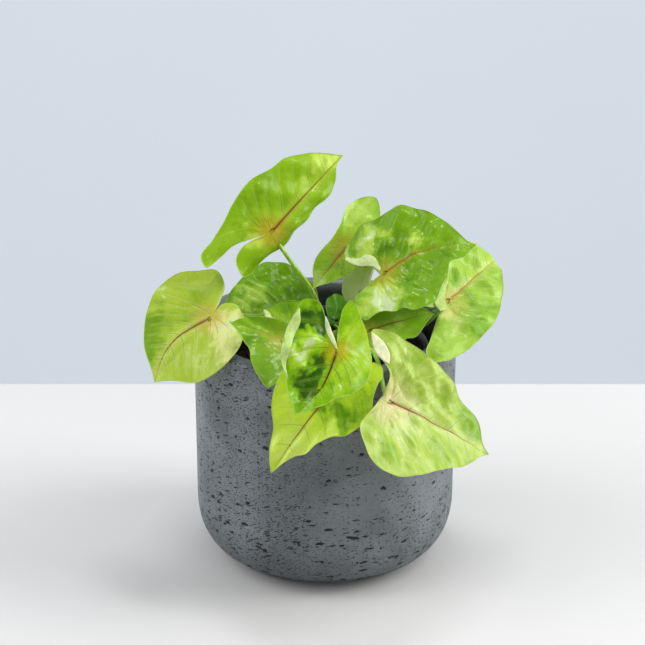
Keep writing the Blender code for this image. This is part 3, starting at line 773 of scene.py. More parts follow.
def relief(leaf, finish, places, share, place, edge, phase, across):
    """Height of the blade's surface over its flat form.

    share is how far out each place lies on its spoke, and place how far along the margin the spoke ends.
    """
    height, count = leaf.wave
    seed = seed_of(leaf)
    small = min(1.0, leaf.length / GROWN_BLADE)
    amount = settings("leaf").relief
    crinkle = amount * finish.crinkle * small
    inner = step(edge, 0.4, 6.0)
    away = step(np.hypot(*places.T), 3.0, 20.0)

    raised = small * height * share**2 * np.sin(2 * math.pi * count * place)
    pillow = np.sin(math.pi * phase) ** 2 * step(across, 0.5, 8.0) * inner * away
    raised += amount * finish.quilt * small * (pillow - 0.35)
    bumps = [high * ripple(places, size, seed + turn)
             for (size, high), turn in ((BLISTERS, 0), (PUCKERS, 1), (FINE_GRAIN, 3))]
    raised += crinkle * bumps[0] * (0.3 + 0.7 * away) + crinkle * bumps[1] * inner
    raised += amount * small * bumps[2] * inner
    frill = ripple(np.column_stack([place * 60, place * 0]), 8.0, seed + 2) * share**6
    raised += amount * small * finish.frill * frill
    groove = np.exp(-(across**2)) * step(places[:, 0], -1.0, 3.0)
    raised -= 0.3 * groove * (1 - 0.6 * np.clip(places[:, 0] / leaf.length, 0, 1))
    return raised + amount * spots(warped(places, seed), finish.swells)


def drawn_out(leaf, finish, side):
    """One side of the margin with its tip drawn out a little more than in the solids."""
    side = side.copy()
    side[:, 1] *= 1 - finish.nib * step(side[:, 0] / leaf.length, 0.74, 0.99)
    return side


def spoke_angles(side):
    """The angle of each margin point round the stalk joint, and that at which its spoke leaves the joint.

    They are alike, except where a lobe reaches back past its own root. There a spoke sets off further
    ahead and curves back, so that none crosses another.
    """
    far = np.log(np.hypot(*side.T))
    angle = np.unwrap(np.arctan2(side[:, 1], side[:, 0]))
    way = np.sign(angle[-1])
    angle = way * angle
    root = angle.copy()
    for spoke in range(len(side) - 2, 0, -1):
        fall = far[spoke] - far[spoke + 1]
        short = SPOKE_SLACK * abs(fall) - (angle[spoke + 1] - angle[spoke])
        if fall > 0 and short > 0:
            root[spoke] -= SPOKE_SWING * short / fall
        root[spoke] = min(root[spoke], root[spoke + 1] * (1 - SPOKE_PACK / (spoke + 1)))
    return way * angle, way * root


def drawn_in(side, share):
    """One side of the margin drawn in along its spokes to a share of its distance from the joint."""
    angle, root = spoke_angles(side)
    turned_to = root + (angle - root) * share
    return share * np.hypot(*side.T)[:, None] * np.column_stack([np.cos(turned_to), np.sin(turned_to)])


def round_margin(left, right):
    """The values of a blade's two sides as one run round the whole margin."""
    return np.concatenate([left, right[-2:0:-1]])


def upward(leaf, middle, quads):
    """The direction of the upper face at each point of a blade's middle sheet."""
    normal = np.zeros_like(middle)
    turn = np.cross(middle[quads[:, 3]] - middle[quads[:, 1]], middle[quads[:, 2]] - middle[quads[:, 0]])
    for corner in range(4):
        np.add.at(normal, quads[:, corner], turn)
    normal[0] = axes(leaf)[:, 2]
    return normal / (np.linalg.norm(normal, axis=1)[:, None] + 1e-12)


def blade(leaf, finish):
    """Points, faces and fields of the blade as one closed skin with its two faces and a thin margin.

    The quads of both sheets are wound inwards, so a material has to show both of its sides.
    """
    samples, rings = BLADE_DETAIL[leaf.detail]
    left, right = (drawn_out(leaf, finish, side) for side in outline(leaf, samples))
    margin = round_margin(left, right)
    along = np.linspace(0, 1, samples)
    spokes = len(margin)
    shares = np.linspace(0, 1, rings + 1)[1:] ** 0.9
    drawn = [round_margin(drawn_in(left, share), drawn_in(right, share)) for share in shares]
    places = np.concatenate([np.zeros((1, 2)), *drawn])
    share = np.concatenate([[0], np.repeat(shares, spokes)])
    run = np.concatenate([[0], np.tile(round_margin(along, along), rings)])
    edge = edge_distance(places, margin)
    phase, pitch, across = vein_field(leaf, finish, places)
    high = relief(leaf, finish, places, share, run, edge, phase, across)
    middle = formed(leaf, np.column_stack([places, high]))

    quads = np.array(grid_faces(rings, spokes, start=1))
    half = 0.5 * (BLADE_EDGE + (BLADE_MIDDLE - BLADE_EDGE) * step(edge, 0, 6.0))
    lift = upward(leaf, middle, quads) * half[:, None]
    points = np.concatenate([middle + lift, middle - lift])
    count = len(middle)
    faces = [tuple(quad) for quad in quads]
    faces += [tuple(quad[::-1] + count) for quad in quads]
    outer = 1 + (rings - 1) * spokes
    for spoke in range(spokes):
        after = (spoke + 1) % spokes
        faces.append((0, 1 + spoke, 1 + after))
        faces.append((count, count + 1 + after, count + 1 + spoke))
        faces.append((outer + spoke, count + outer + spoke, count + outer + after, outer + after))
    fields = {
        "flat": np.column_stack([places, 0 * share]),
        "phase": phase,
        "pitch": pitch,
        "across": across,
        "edge": edge,
        "wash": patches_and_painted_light(leaf, finish, places, phase, across, edge),
    }
    fields = {key: np.concatenate([values, values]) for key, values in fields.items()}
    fields["under"] = np.repeat([0.0, 1.0], count)
    return points, faces, fields


def flap(leaf, finish, strip):
    """Points and faces of a rolled-back strip of margin, as a closed curved sheet just over the blade."""
    outer, inner = (smooth_curve(line, FLAP_STEPS) for line in (strip.outer, strip.inner))
    share = np.linspace(0, 1, FLAP_TURNS)
    flat = (outer[:, None] * (1 - share)[:, None] + inner[:, None] * share[:, None]).reshape(-1, 2)
    ends = np.sin(math.pi * np.linspace(0.02, 0.98, FLAP_STEPS)) ** 0.6
    bulge = np.sin(math.pi * (0.04 + 0.80 * share)) ** 0.7
    over = np.clip(0.35 + strip.lift * np.outer(ends, bulge).ravel(), 0.3, None)
    phase, _, across = vein_field(leaf, finish, flat)
    level = np.ones(len(flat))
    base = relief(leaf, finish, flat, 0.6 * level, 0 * level, 9.0 * level, phase, across)
    sheets = [formed(leaf, np.column_stack([flat, base + over - drop])) for drop in (0.0, FLAP_THICKNESS)]
    count = len(flat)
    faces = []
    for row in range(FLAP_STEPS - 1):
        for column in range(FLAP_TURNS - 1):
            low = row * FLAP_TURNS + column
            quad = (low, low + FLAP_TURNS, low + FLAP_TURNS + 1, low + 1)
            faces += [quad[::-1], tuple(corner + count for corner in quad)]
    number = np.arange(count).reshape(FLAP_STEPS, FLAP_TURNS)
    rim = [*number[:, 0], *number[-1, 1:], *number[-2::-1, -1], *number[0, -2:0:-1]]
    for first, after in zip(rim, rim[1:] + rim[:1]):
        faces.append((first, after, after + count, first + count))
    return np.concatenate(sheets), faces


def stalk(leaf, finish):
    """Centre line and radius of the stalk, from its seat on the shoot to the joint and on as the midrib."""
    x, y = SHOOTS[leaf.shoot]
    dx, dy = polar(leaf.seat, SEAT_CIRCLE)
    foot = np.array([x + dx, y + dy, MIX_TOP + SHOOT_ABOVE + SEAT_GAP])
    under = 0.5 * CAD_BLADE + leaf.stalk
    joint = formed(leaf, [(-0.5, 0, -under)])[0]
    stem = smooth_curve([foot, foot + (0, 0, 3), *leaf.via, joint], STALK_STEPS)
    radii = np.linspace(leaf.stalk * 1.12, leaf.stalk * 0.9, STALK_STEPS)
    radii += 0.5 * leaf.stalk * np.exp(-np.linspace(0, 12, STALK_STEPS))
    reach = np.linspace(*MIDRIB_REACH, MIDRIB_STEPS) * leaf.length
    fade = np.linspace(0, 1, MIDRIB_STEPS) ** 0.6
    thin = leaf.stalk * 0.7 * (1 - fade) + 0.16 * fade
    flat = np.column_stack([reach, midrib(leaf, finish, reach)])
    phase, _, across = vein_field(leaf, finish, flat)
    base = relief(leaf, finish, flat, 0 * reach, 0 * reach, 0 * reach + 9, phase, across)
    rib = formed(leaf, np.column_stack([flat, base - 0.5 * BLADE_MIDDLE - 0.75 * thin]))
    return np.concatenate([stem, rib]), np.concatenate([radii, thin])


# Materials


class Recipe:
    """A material's nodes, added one short call at a time."""

    def __init__(self, name):
        self.material = bpy.data.materials.new(name)
        self.material.use_nodes = True
        self.tree = self.material.node_tree
        self.shader = self.tree.nodes["Principled BSDF"]

    def add(self, kind, **choices):
        node = self.tree.nodes.new("ShaderNode" + kind)
        for key, value in choices.items():
            setattr(node, key, value)
        return node

    def put(self, socket, value):
        if isinstance(value, bpy.types.NodeSocket):
            self.tree.links.new(value, socket)
        elif isinstance(value, tuple) and len(socket.default_value) == 4:
            socket.default_value = (*value, 1.0)[:4]
        else:
            socket.default_value = value

    def field(self, name, output="Fac"):
        return self.add("Attribute", attribute_name=name).outputs[output]

    def math(self, operation, first, second=0.0, third=0.0, clamp=False):
        node = self.add("Math", operation=operation, use_clamp=clamp)
        for socket, value in zip(node.inputs, (first, second, third)):
            self.put(socket, value)
        return node.outputs[0]

    def times(self, first, second):
        return self.math("MULTIPLY", first, second)

    def line(self, value, slope, start):
        """The value times the slope, with the start added."""
        return self.math("MULTIPLY_ADD", value, slope, start)

    def rise(self, value, low, high, start=0.0, end=1.0):
        """start below low, end above high and a smooth change between."""
        node = self.add("MapRange", interpolation_type="SMOOTHSTEP")
        ends = (("Value", value), ("From Min", low), ("From Max", high), ("To Min", start), ("To Max", end))
        for key, number in ends:
            self.put(node.inputs[key], number)
        return node.outputs["Result"]

    def mix(self, share, first, second):
        node = self.add("Mix", data_type="RGBA")
        self.put(node.inputs["Factor"], share)
        self.put(node.inputs[6], first)
        self.put(node.inputs[7], second)
        return node.outputs[2]

    def noise(self, where, scale, detail=2.0, roughness=0.5):
        node = self.add("TexNoise")
        self.put(node.inputs["Vector"], where)
        for key, value in (("Scale", scale), ("Detail", detail), ("Roughness", roughness)):
            node.inputs[key].default_value = value
        return node.outputs["Fac"]

    def net(self, where, scale):
        """Distance of each place from the edges of uneven cells."""
        node = self.add("TexVoronoi", feature="DISTANCE_TO_EDGE")
        self.put(node.inputs["Vector"], where)
        node.inputs["Scale"].default_value = scale
        return node.outputs["Distance"]

    def shaken(self, where, scale, amount):
        """The places pushed about by a noise, in their own units, so that cells on them turn ragged."""
        noise = self.add("TexNoise")
        self.put(noise.inputs["Vector"], where)
        noise.inputs["Scale"].default_value = scale
        noise.inputs["Detail"].default_value = 2.0
        level = self.add("VectorMath", operation="SUBTRACT")
        self.put(level.inputs[0], noise.outputs["Color"])
        level.inputs[1].default_value = (0.5, 0.5, 0.5)
        pushed = self.add("VectorMath", operation="MULTIPLY_ADD")
        self.put(pushed.inputs[0], level.outputs[0])
        pushed.inputs[1].default_value = (amount, amount, amount)
        self.put(pushed.inputs[2], where)
        return pushed.outputs[0]

    def specks(self, where, scale, fill, smallest, largest):
        """Uneven specks in a share, fill, of the cells: where they lie, and how deep each place is in one."""
        node = self.add("TexVoronoi", feature="F1")
        self.put(node.inputs["Vector"], where)
        node.inputs["Scale"].default_value = scale
        parts = self.add("SeparateColor")
        self.put(parts.inputs[0], node.outputs["Color"])
        size = self.line(parts.outputs[1], largest - smallest, smallest)
        there = self.math("LESS_THAN", parts.outputs[0], fill)
        inside = self.math("SUBTRACT", size, node.outputs["Distance"])
        inked = self.times(there, self.math("GREATER_THAN", inside, 0.0))
        return inked, self.times(there, self.rise(inside, -0.10, 0.08))

    def scaled(self, where, scale):
        node = self.add("Mapping")
        self.put(node.inputs["Vector"], where)
        node.inputs["Scale"].default_value = scale
        return node.outputs["Vector"]

    def split(self, vector):
        parts = self.add("SeparateXYZ")
        self.put(parts.inputs[0], vector)
        return parts.outputs

    def joined(self, *values):
        vector = self.add("CombineXYZ")
        for socket, value in zip(vector.inputs, values):
            self.put(socket, value)
        return vector.outputs[0]

    def length(self, vector):
        node = self.add("VectorMath", operation="LENGTH")
        self.put(node.inputs[0], vector)
        return node.outputs["Value"]

    def own_place(self):
        return self.add("TexCoord").outputs["Object"]

    def bump(self, height, distance, strength=1.0):
        node = self.add("Bump")
        node.inputs["Distance"].default_value = distance
        node.inputs["Strength"].default_value = strength
        self.put(node.inputs["Height"], height)
        self.put(self.shader.inputs["Normal"], node.outputs["Normal"])

    def finish(self, **values):
        """Sets the shader's own sockets by name, with words joined by underscores."""
        for key, value in values.items():
            self.put(self.shader.inputs[key.replace("_", " ")], value)
        return self.material


class BladeSkin(Recipe):
    """Waxy blade, one layer of colour a method. Distances on the flat blade are in millimetres."""

    def __init__(self, leaf, finish):
        super().__init__("skin_" + leaf.name)
        self.kind = finish
        self.flat = self.field("flat", "Vector")
        self.phase, self.pitch, self.across = (self.field(name) for name in ("phase", "pitch", "across"))
        self.edge, self.wash, self.under = (self.field(name) for name in ("edge", "wash", "under"))
        self.ahead = self.split(self.flat)[0]
        self.along = self.math("DIVIDE", self.ahead, leaf.length, clamp=True)
        self.near = self.length(self.flat)
        self.clouds = self.noise(self.flat, 0.085, detail=3.0, roughness=0.6)
        self.grain = self.noise(self.flat, 0.55, detail=3.0, roughness=0.65)

    def clouded_and_painted_light(self):
        """The leaf's clouds and patches, from dark over plain and light to the painted highlight.
        The dark end is partly the leaf's own tone and partly painted shade.
        """
        feather = self.line(self.clouds, 0.7, -0.35)
        feather = self.line(self.grain, 0.5, self.math("SUBTRACT", feather, 0.25))
        tone = self.math("ADD", self.wash, feather)
        # Low tones reach the dark colour, partly the leaf's own and partly painted shade
        colour = self.mix(self.rise(tone, -0.9, -0.05, 1.0, 0.0), self.kind.main, self.kind.dark)
        colour = self.mix(self.rise(tone, 0.10, 0.95), colour, self.kind.light)
        # The highest tones turn to the painted highlight colour
        return self.mix(self.rise(tone, 1.05, 1.9, 0.0, 0.85), colour, self.kind.painted_highlight)

    def fingered(self, colour):
        """Dark and light fingers along the side veins, dark specks, and a pale band along the midrib."""
        flow = self.joined(self.times(self.phase, 1.7), self.times(self.across, 0.06))
        streaks = self.noise(flow, 1.0, roughness=0.6)
        outward = self.rise(self.across, 2.0, 9.0)
        dark = self.times(self.rise(streaks, 0.46, 0.62), outward)
        colour = self.mix(self.times(dark, self.kind.fingers), colour, self.kind.dark)
        light = self.times(self.rise(streaks, 0.46, 0.34), outward)
        colour = self.mix(self.times(light, 0.6 * self.kind.fingers), colour, self.kind.light)
        specks = self.rise(self.noise(self.flat, 1.3, roughness=0.6), 0.58, 0.68)
        specks = self.times(specks, self.rise(self.clouds, 0.45, 0.60))
        colour = self.mix(self.times(specks, self.kind.speckle), colour, self.kind.dark)
        band = self.times(self.rise(self.across, 0.5, 6.0, 1.0, 0.0), self.rise(self.ahead, -2.0, 4.0))
        band = self.times(band, self.rise(self.grain, 0.3, 0.6, 0.5, 1.0))
        return self.mix(self.times(band, self.kind.rib_pale), colour, self.kind.light)

    def veined(self, colour):
        """Side veins in a pale halo, and the finest net. Returns the colour, the veins and the net."""
        wander = self.line(self.noise(self.flat, 0.10), 0.30, -0.15)
        off = self.times(self.math("PINGPONG", self.math("ADD", self.phase, wander), 0.5), self.pitch)
        inside = self.times(self.rise(self.edge, 0.8, 5.0), self.rise(self.pitch, 1.0, 4.0))
        veins = self.times(self.rise(off, 0.10, 0.45, 1.0, 0.0), inside)
        halo = self.times(self.rise(off, 0.3, 2.2, 1.0, 0.0), inside)
        colour = self.mix(self.times(halo, 0.3 * self.kind.vein_strength), colour, self.kind.light)
        net = self.rise(self.net(self.flat, 0.55), 0.0, 0.09, 1.0, 0.0)
        colour = self.mix(self.times(net, 0.10), colour, self.kind.dark)
        red_near = self.rise(self.near, 5.0, 18.0, 1.0, 0.0)
        tint = self.mix(red_near, shade(self.kind.dark, 0.7), self.kind.rib)
        most = 0.8 * self.kind.vein_strength
        strength = self.times(veins, self.rise(self.across, 3.0, 18.0, most, 0.10))
        return self.mix(strength, colour, tint), veins, net

    def ribbed(self, colour):
        """A blush round the stalk and the red-brown midrib. Returns the colour and the midrib."""
        blush = self.rise(self.near, 1.5, self.kind.blush_reach, 1.0, 0.0)
        blush = self.times(blush, self.kind.blush_strength)
        blush = self.times(blush, self.rise(self.grain, 0.30, 0.62, 0.35, 1.0))
        colour = self.mix(blush, colour, self.kind.blush)
        width = self.line(self.along, -0.55, 0.80)
        rib = self.math("SUBTRACT", 1.0, self.math("DIVIDE", self.across, width, clamp=True))
        rib = self.times(self.rise(rib, 0.0, 0.6), self.rise(self.ahead, 0.0, 4.0))
        seam = self.times(self.rise(self.across, 0.4, 2.2, 0.45, 0.0), self.rise(self.ahead, -1.0, 2.0))
        seam = self.times(seam, self.rise(self.along, 0.1, 0.65, 1.0, 0.0))
        colour = self.mix(self.times(seam, self.kind.rib_strength), colour, self.kind.rib)
        red = self.times(rib, self.rise(self.along, 0.55, 1.0, self.kind.rib_strength, 0.3))
        return self.mix(red, colour, self.kind.rib), rib

    def backed(self, colour):
        """The paler underside and the thin pale margin."""
        colour = self.mix(self.rise(self.edge, 0.05, 0.6, 0.3, 0.0), colour, self.kind.under)
        return self.mix(self.times(self.under, 0.8), colour, self.kind.under)


def leaf_material(leaf, finish):
    """Waxy blade: mottled green with painted highlights and painted shade, a red-brown midrib, fine side
    veins, a blush at the stalk, a paler back.
    """
    make = BladeSkin(leaf, finish)
    colour, veins, net = make.veined(make.fingered(make.clouded_and_painted_light()))
    colour, rib = make.ribbed(colour)
    colour = make.backed(colour)

    height = make.line(rib, -0.6, make.times(veins, -0.6))
    height = make.line(net, -0.2, height)
    height = make.line(make.grain, 0.6, height)
    make.bump(height, 0.0003, 0.6)
    rough = make.line(make.grain, 0.16, finish.roughness - 0.08)
    rough = make.line(make.under, 0.2, rough)
    return make.finish(
        Base_Color=colour, Roughness=rough, Specular_IOR_Level=0.25, Specular_Tint=(0.86, 1.0, 0.34),
        Coat_Weight=0.32, Coat_Roughness=0.16,
        Subsurface_Weight=settings("leaf").glow, Subsurface_Radius=(0.45, 0.6, 0.05),
        Subsurface_Scale=0.003,
    )


def plain_leaf_material(name, colour):
    """The underside of a blade where it shows on a rolled margin."""
    make = Recipe(name)
    where = make.own_place()
    grain = make.noise(where, 420.0, detail=3.0, roughness=0.6)
    mixed = make.mix(make.rise(grain, 0.35, 0.7), shade(colour, 0.8), colour)
    make.bump(grain, 0.0002, 0.5)
    return make.finish(Base_Color=mixed, Roughness=0.5, Specular_IOR_Level=0.3)


def stalk_material():
    """Smooth fleshy stalk with faint lengthwise streaks. All shoots and stalks share it."""
    shared = bpy.data.materials.get("stalk_skin")
    if shared:
        return shared
    make = Recipe("stalk_skin")
    where = make.own_place()
    streaks = make.noise(make.scaled(where, (900.0, 900.0, 90.0)), 1.0)
    colour = settings("leaf").stalk_colour
    lighter = tuple(min(1.0, 1.35 * c + 0.03) for c in colour)
    mixed = make.mix(make.rise(streaks, 0.4, 0.7), tuple(colour), lighter)
    make.bump(streaks, 0.0002, 0.4)
    return make.finish(Base_Color=mixed, Roughness=0.36, Coat_Weight=0.1, Coat_Roughness=0.25,
                       Subsurface_Weight=0.2, Subsurface_Radius=(0.35, 0.55, 0.08), Subsurface_Scale=0.003)


# Layers of fine pores: stretch of the places, scale, raggedness, smallest and largest size in shares of a
# cell, the crowding from and to which they fill in, and the most of the cells that they fill
PORES = (
    ((1000.0, 1000.0, 1700.0), 0.80, 0.55, 0.10, 0.30, (0.00, 0.95), 0.85),
    ((1000.0, 1000.0, 2800.0), 0.40, 0.65, 0.08, 0.30, (0.15, 1.10), 0.66),
    ((1000.0, 1000.0, 4200.0), 0.18, 0.75, 0.08, 0.33, (0.35, 1.35), 0.42),
)


def fine_pores(make, where, level):
    """Small ragged pores, in places that slant down to the left. Returns where they lie and how deep."""
    crowd = make.math("ADD", make.field("crowd"), make.line(make.noise(level, 0.05), 1.6, -0.65))
    x, y, z = make.split(where)
    sunk = make.times(make.math("MINIMUM", make.math("ADD", x, 0.015), 0.0), 0.45)
    slanted = make.joined(x, y, make.math("SUBTRACT", z, sunk))
    pores = depth = 0.0
    for stretch, scale, ragged, smallest, largest, (low, high), most in PORES:
        spot = make.shaken(make.scaled(slanted, stretch), 2.2 * scale, ragged / scale)
        inked, deep = make.specks(spot, scale, make.rise(crowd, low, high, 0.02, most), smallest, largest)
        pores = make.math("MAXIMUM", pores, inked)
        depth = make.math("MAXIMUM", depth, deep)
    return pores, depth


def planter_material():
    """Cast stone look: blue-grey and mottled, with painted shade at the foot and down the inside, and full of
    small level pores with painted shade in them.
    """
    make = Recipe("planter_cast_stone")
    where = make.own_place()
    colour = tuple(settings("planter").colour)
    lighter = shade(colour, 1.30)
    level = make.scaled(where, (1000.0, 1000.0, 2100.0))
    clouds = make.noise(make.scaled(where, (1000.0, 1000.0, 1000.0)), 0.030, detail=3.0, roughness=0.55)
    mottle = make.noise(level, 0.16, detail=4.0, roughness=0.6)
    grain = make.noise(level, 1.4, detail=3.0, roughness=0.65)
    mixed = make.mix(make.rise(clouds, 0.35, 0.68), shade(colour, 0.72), lighter)
    mixed = make.mix(make.times(make.rise(mottle, 0.35, 0.70), 0.5), mixed, colour)
    mixed = make.mix(make.times(make.rise(grain, 0.50, 0.80), 0.25), mixed, lighter)

    height = make.split(where)[2]
    # Painted shade: darker towards the floor over the lowest 40 mm, where the planter stands in its own shade
    painted_foot_shade = make.rise(height, 0.001, 0.040, 0.50, 0.0)
    painted_foot_shade = make.times(painted_foot_shade, make.rise(clouds, 0.2, 0.6, 0.7, 1.0))
    mixed = make.mix(painted_foot_shade, mixed, shade(colour, 0.22))
    # Painted shade: the inner wall turns dark from just under the lip downward, where shade falls inside
    inner_wall = (PLANTER_RADIUS - PLANTER_WALL + PLANTER_LIP_ROUND) * MM
    out = make.length(make.scaled(where, (1.0, 1.0, 0.0)))
    inner = make.rise(out, inner_wall - 0.0008, inner_wall + 0.0002, 1.0, 0.0)
    rim = PLANTER_HEIGHT * MM
    painted_inner_shade = make.times(inner, make.rise(height, rim - 0.0070, rim - 0.0015, 0.85, 0.0))
    mixed = make.mix(painted_inner_shade, mixed, shade(colour, 0.1))

    pores, depth = fine_pores(make, where, level)
    ragged = make.noise(level, 0.8, detail=4.0, roughness=0.7)
    pit = make.line(ragged, 0.9, make.math("SUBTRACT", make.field("pit"), 0.45))
    # The larger pits are dug in the wall and the pores are only bumps; both are painted near black as painted
    # shade inside them
    shaded_holes = make.math("MAXIMUM", make.rise(pit, 0.30, 0.42), make.times(pores, 0.94))
    mixed = make.mix(shaded_holes, mixed, (0.010, 0.011, 0.012))

    relief_height = make.line(depth, -1.0, make.times(grain, 0.12))
    make.bump(make.line(mottle, 0.15, relief_height), 0.0010)
    rough = make.line(shaded_holes, 0.25, make.line(grain, 0.12, 0.34))
    return make.finish(Base_Color=mixed, Roughness=rough, Specular_IOR_Level=0.5)


def pot_material():
    """Thin black nursery plastic, a little scuffed."""
    make = Recipe("nursery_plastic")
    where = make.own_place()
    scuff = make.noise(where, 160.0, detail=4.0, roughness=0.7)
    dust = make.rise(make.noise(where, 60.0), 0.5, 0.8)
    mixed = make.mix(make.times(dust, 0.2), tuple(settings("pot").colour), (0.10, 0.09, 0.08))
    make.bump(scuff, 0.0001, 0.3)
    return make.finish(Base_Color=mixed, Roughness=make.line(scuff, 0.25, 0.14), Specular_IOR_Level=0.5)


def crumb_material(name, dark, light, scale):
    """Matt crumbly matter with grains of two colours."""
    make = Recipe(name)
    where = make.own_place()
    grain = make.noise(where, scale, detail=4.0, roughness=0.7)
    mixed = make.mix(make.rise(grain, 0.38, 0.66), dark, light)
    make.bump(grain, 0.0006)
    return make.finish(Base_Color=mixed, Roughness=0.93, Specular_IOR_Level=0.2)


def stage_material(name, colour, roughness, glow=0.0):
    """Plain paint with a faint unevenness. The glow stands for light that falls on a far wall alone."""
    make = Recipe(name)
    where = make.own_place()
    uneven = make.noise(where, 2.0)
    mixed = make.mix(make.rise(uneven, 0.3, 0.7), shade(colour, 0.985), colour)
    return make.finish(Base_Color=mixed, Roughness=roughness, Specular_IOR_Level=0.2,
                       Emission_Color=mixed, Emission_Strength=glow)


# Pieces


def planter_profile():
    """Outer wall from the lip down to the middle of the underside, then its inner side, in millimetres."""
    lip = PLANTER_LIP_ROUND
    inner = PLANTER_RADIUS - PLANTER_WALL
    quarter = np.linspace(0, math.pi / 2, 5)
    outer = [(PLANTER_RADIUS - lip * (1 - math.sin(a)), PLANTER_HEIGHT - lip * (1 - math.cos(a)))
             for a in quarter]
    bottom = []
    for turn in np.linspace(0, math.pi / 2, 400):
        out = math.cos(turn) ** (2 / PLANTER_CORNER_POWER)
        down = math.sin(turn) ** (2 / PLANTER_CORNER_POWER)
        bottom.append((PLANTER_RADIUS - PLANTER_CORNER * (1 - out), PLANTER_CORNER * (1 - down)))
    wall = np.array([outer[-1], *bottom])
    chord = np.concatenate([[0], np.cumsum(np.linalg.norm(np.diff(wall, axis=0), axis=1))])
    even = np.linspace(0, chord[-1], PLANTER_ROWS)
    wall = np.column_stack([np.interp(even, chord, wall[:, 0]), np.interp(even, chord, wall[:, 1])])
    floor = [(radius, 0.0) for radius in (30.0, 20.0, 9.0, 1.0)]
    inside = [(inner + lip * (1 - math.sin(a)), PLANTER_HEIGHT - lip * (1 - math.cos(a)))
              for a in quarter[::-1]]
    corner = (inner - PLANTER_INNER_CORNER, PLANTER_FLOOR + PLANTER_INNER_CORNER)
    bowl = [(1.0, PLANTER_FLOOR), (22.0, PLANTER_FLOOR)]
    for a in np.linspace(-90, 0, 8):
        dx, dy = polar(a, PLANTER_INNER_CORNER)
        bowl.append((corner[0] + dx, corner[1] + dy))
    bowl += [(inner, height) for height in (60.0, 90.0, 115.0, 128.0)]
    return np.array(bowl + inside + outer[:-1] + list(map(tuple, wall)) + floor)


def dig_pits(points):
    """Digs the larger pits into the outer wall. Returns the moved points and how deep each lies, 0 to 1."""
    made = settings("planter")
    draw = np.random.default_rng(PIT_SEED)
    angle = np.arctan2(points[:, 1], points[:, 0])
    around = np.hypot(*points[:, :2].T)
    height = points[:, 2]
    deep = np.zeros(len(points))
    for _ in range(made.pit_count):
        where = draw.uniform(-math.pi, math.pi)
        low = draw.random() < PITS_LOW
        level = draw.uniform(4, 50) if low else draw.uniform(50, 134)
        large = draw.random() ** 2.2
        half = 0.7 + (2.6 if low else 1.5) * large
        tall = 0.42 + 0.55 * draw.random() * (0.5 + large)
        tilt = draw.normal(0.0, 0.12) - (0.35 if not low and draw.random() < 0.5 else 0.05)
        aside = np.angle(np.exp(1j * (angle - where))) * around
        near = (np.abs(height - level) < PIT_ROOM[1]) & (np.abs(aside) < PIT_ROOM[0])
        along = aside[near]
        up = height[near] - level
        u = along * math.cos(tilt) + up * math.sin(tilt)
        v = up * math.cos(tilt) - along * math.sin(tilt)
        wobble = 0.22 * np.sin(2.1 * u + 9 * large) + 0.15 * np.sin(4.7 * u + 5 * tilt)
        size = np.sqrt((u / half) ** 2 + ((v - wobble * tall) / tall) ** 2)
        deep[near] = np.maximum(deep[near], (0.55 + 0.45 * large) * (1 - step(size, 0.45, 1.25)))
    outward = np.column_stack([np.cos(angle), np.sin(angle), 0 * angle])
    drop = deep * made.pit_depth / MM
    return points - outward * drop[:, None], deep


def crowding(points):
    """How thickly the finest pores lie: most at the left and low down, least in the middle of the front."""
    angle = np.arctan2(points[:, 1], points[:, 0])
    to_left = step(np.cos(angle - math.radians(-165)), 0.1, 0.9)
    low = 1 - step(points[:, 2], 22.0, 66.0)
    top = step(points[:, 2], 96.0, 128.0)
    right = step(np.cos(angle - math.radians(-20)), 0.5, 0.95)
    return 0.25 + 0.55 * to_left + 0.45 * low + 0.25 * top + 0.15 * right


def make_planter():
    """The planter with its outer wall pitted and a little uneven, never beyond the plain form."""
    points, faces = turned(planter_profile(), PLANTER_COLUMNS, from_inside=True)
    around = np.hypot(*points[:, :2].T)
    inner = PLANTER_RADIUS - PLANTER_WALL + PLANTER_LIP_ROUND
    outside = (around > inner + 1.5) | ((points[:, 2] < PLANTER_FLOOR - 2) & (around > 40))
    moved, deep = dig_pits(points)
    coarse = 0.10 * ripple(points * (1, 1, 1.8), 16.0, WALL_SEED)
    fine = 0.05 * ripple(points * (1, 1, 2.0), 5.0, WALL_SEED + 1)
    outward = points / (np.linalg.norm(points, axis=1)[:, None] + 1e-9) * (1, 1, 0)
    moved += outward * np.minimum(coarse + fine, 0.0)[:, None]
    points = np.where(outside[:, None], moved, points)
    fields = {"pit": np.where(outside, deep, 0.0), "crowd": crowding(points)}
    planter = mesh_object("planter_cast", points, faces, [planter_material()], fields)
    dress(planter, "planter_stone", "planter")


def pot_wall(height):
    """Outer radius of the nursery pot's leaning wall at a height."""
    lean = (POT_TOP_RADIUS - POT_BASE_RADIUS) / POT_HEIGHT
    return POT_BASE_RADIUS + lean * (height - POT_BASE)


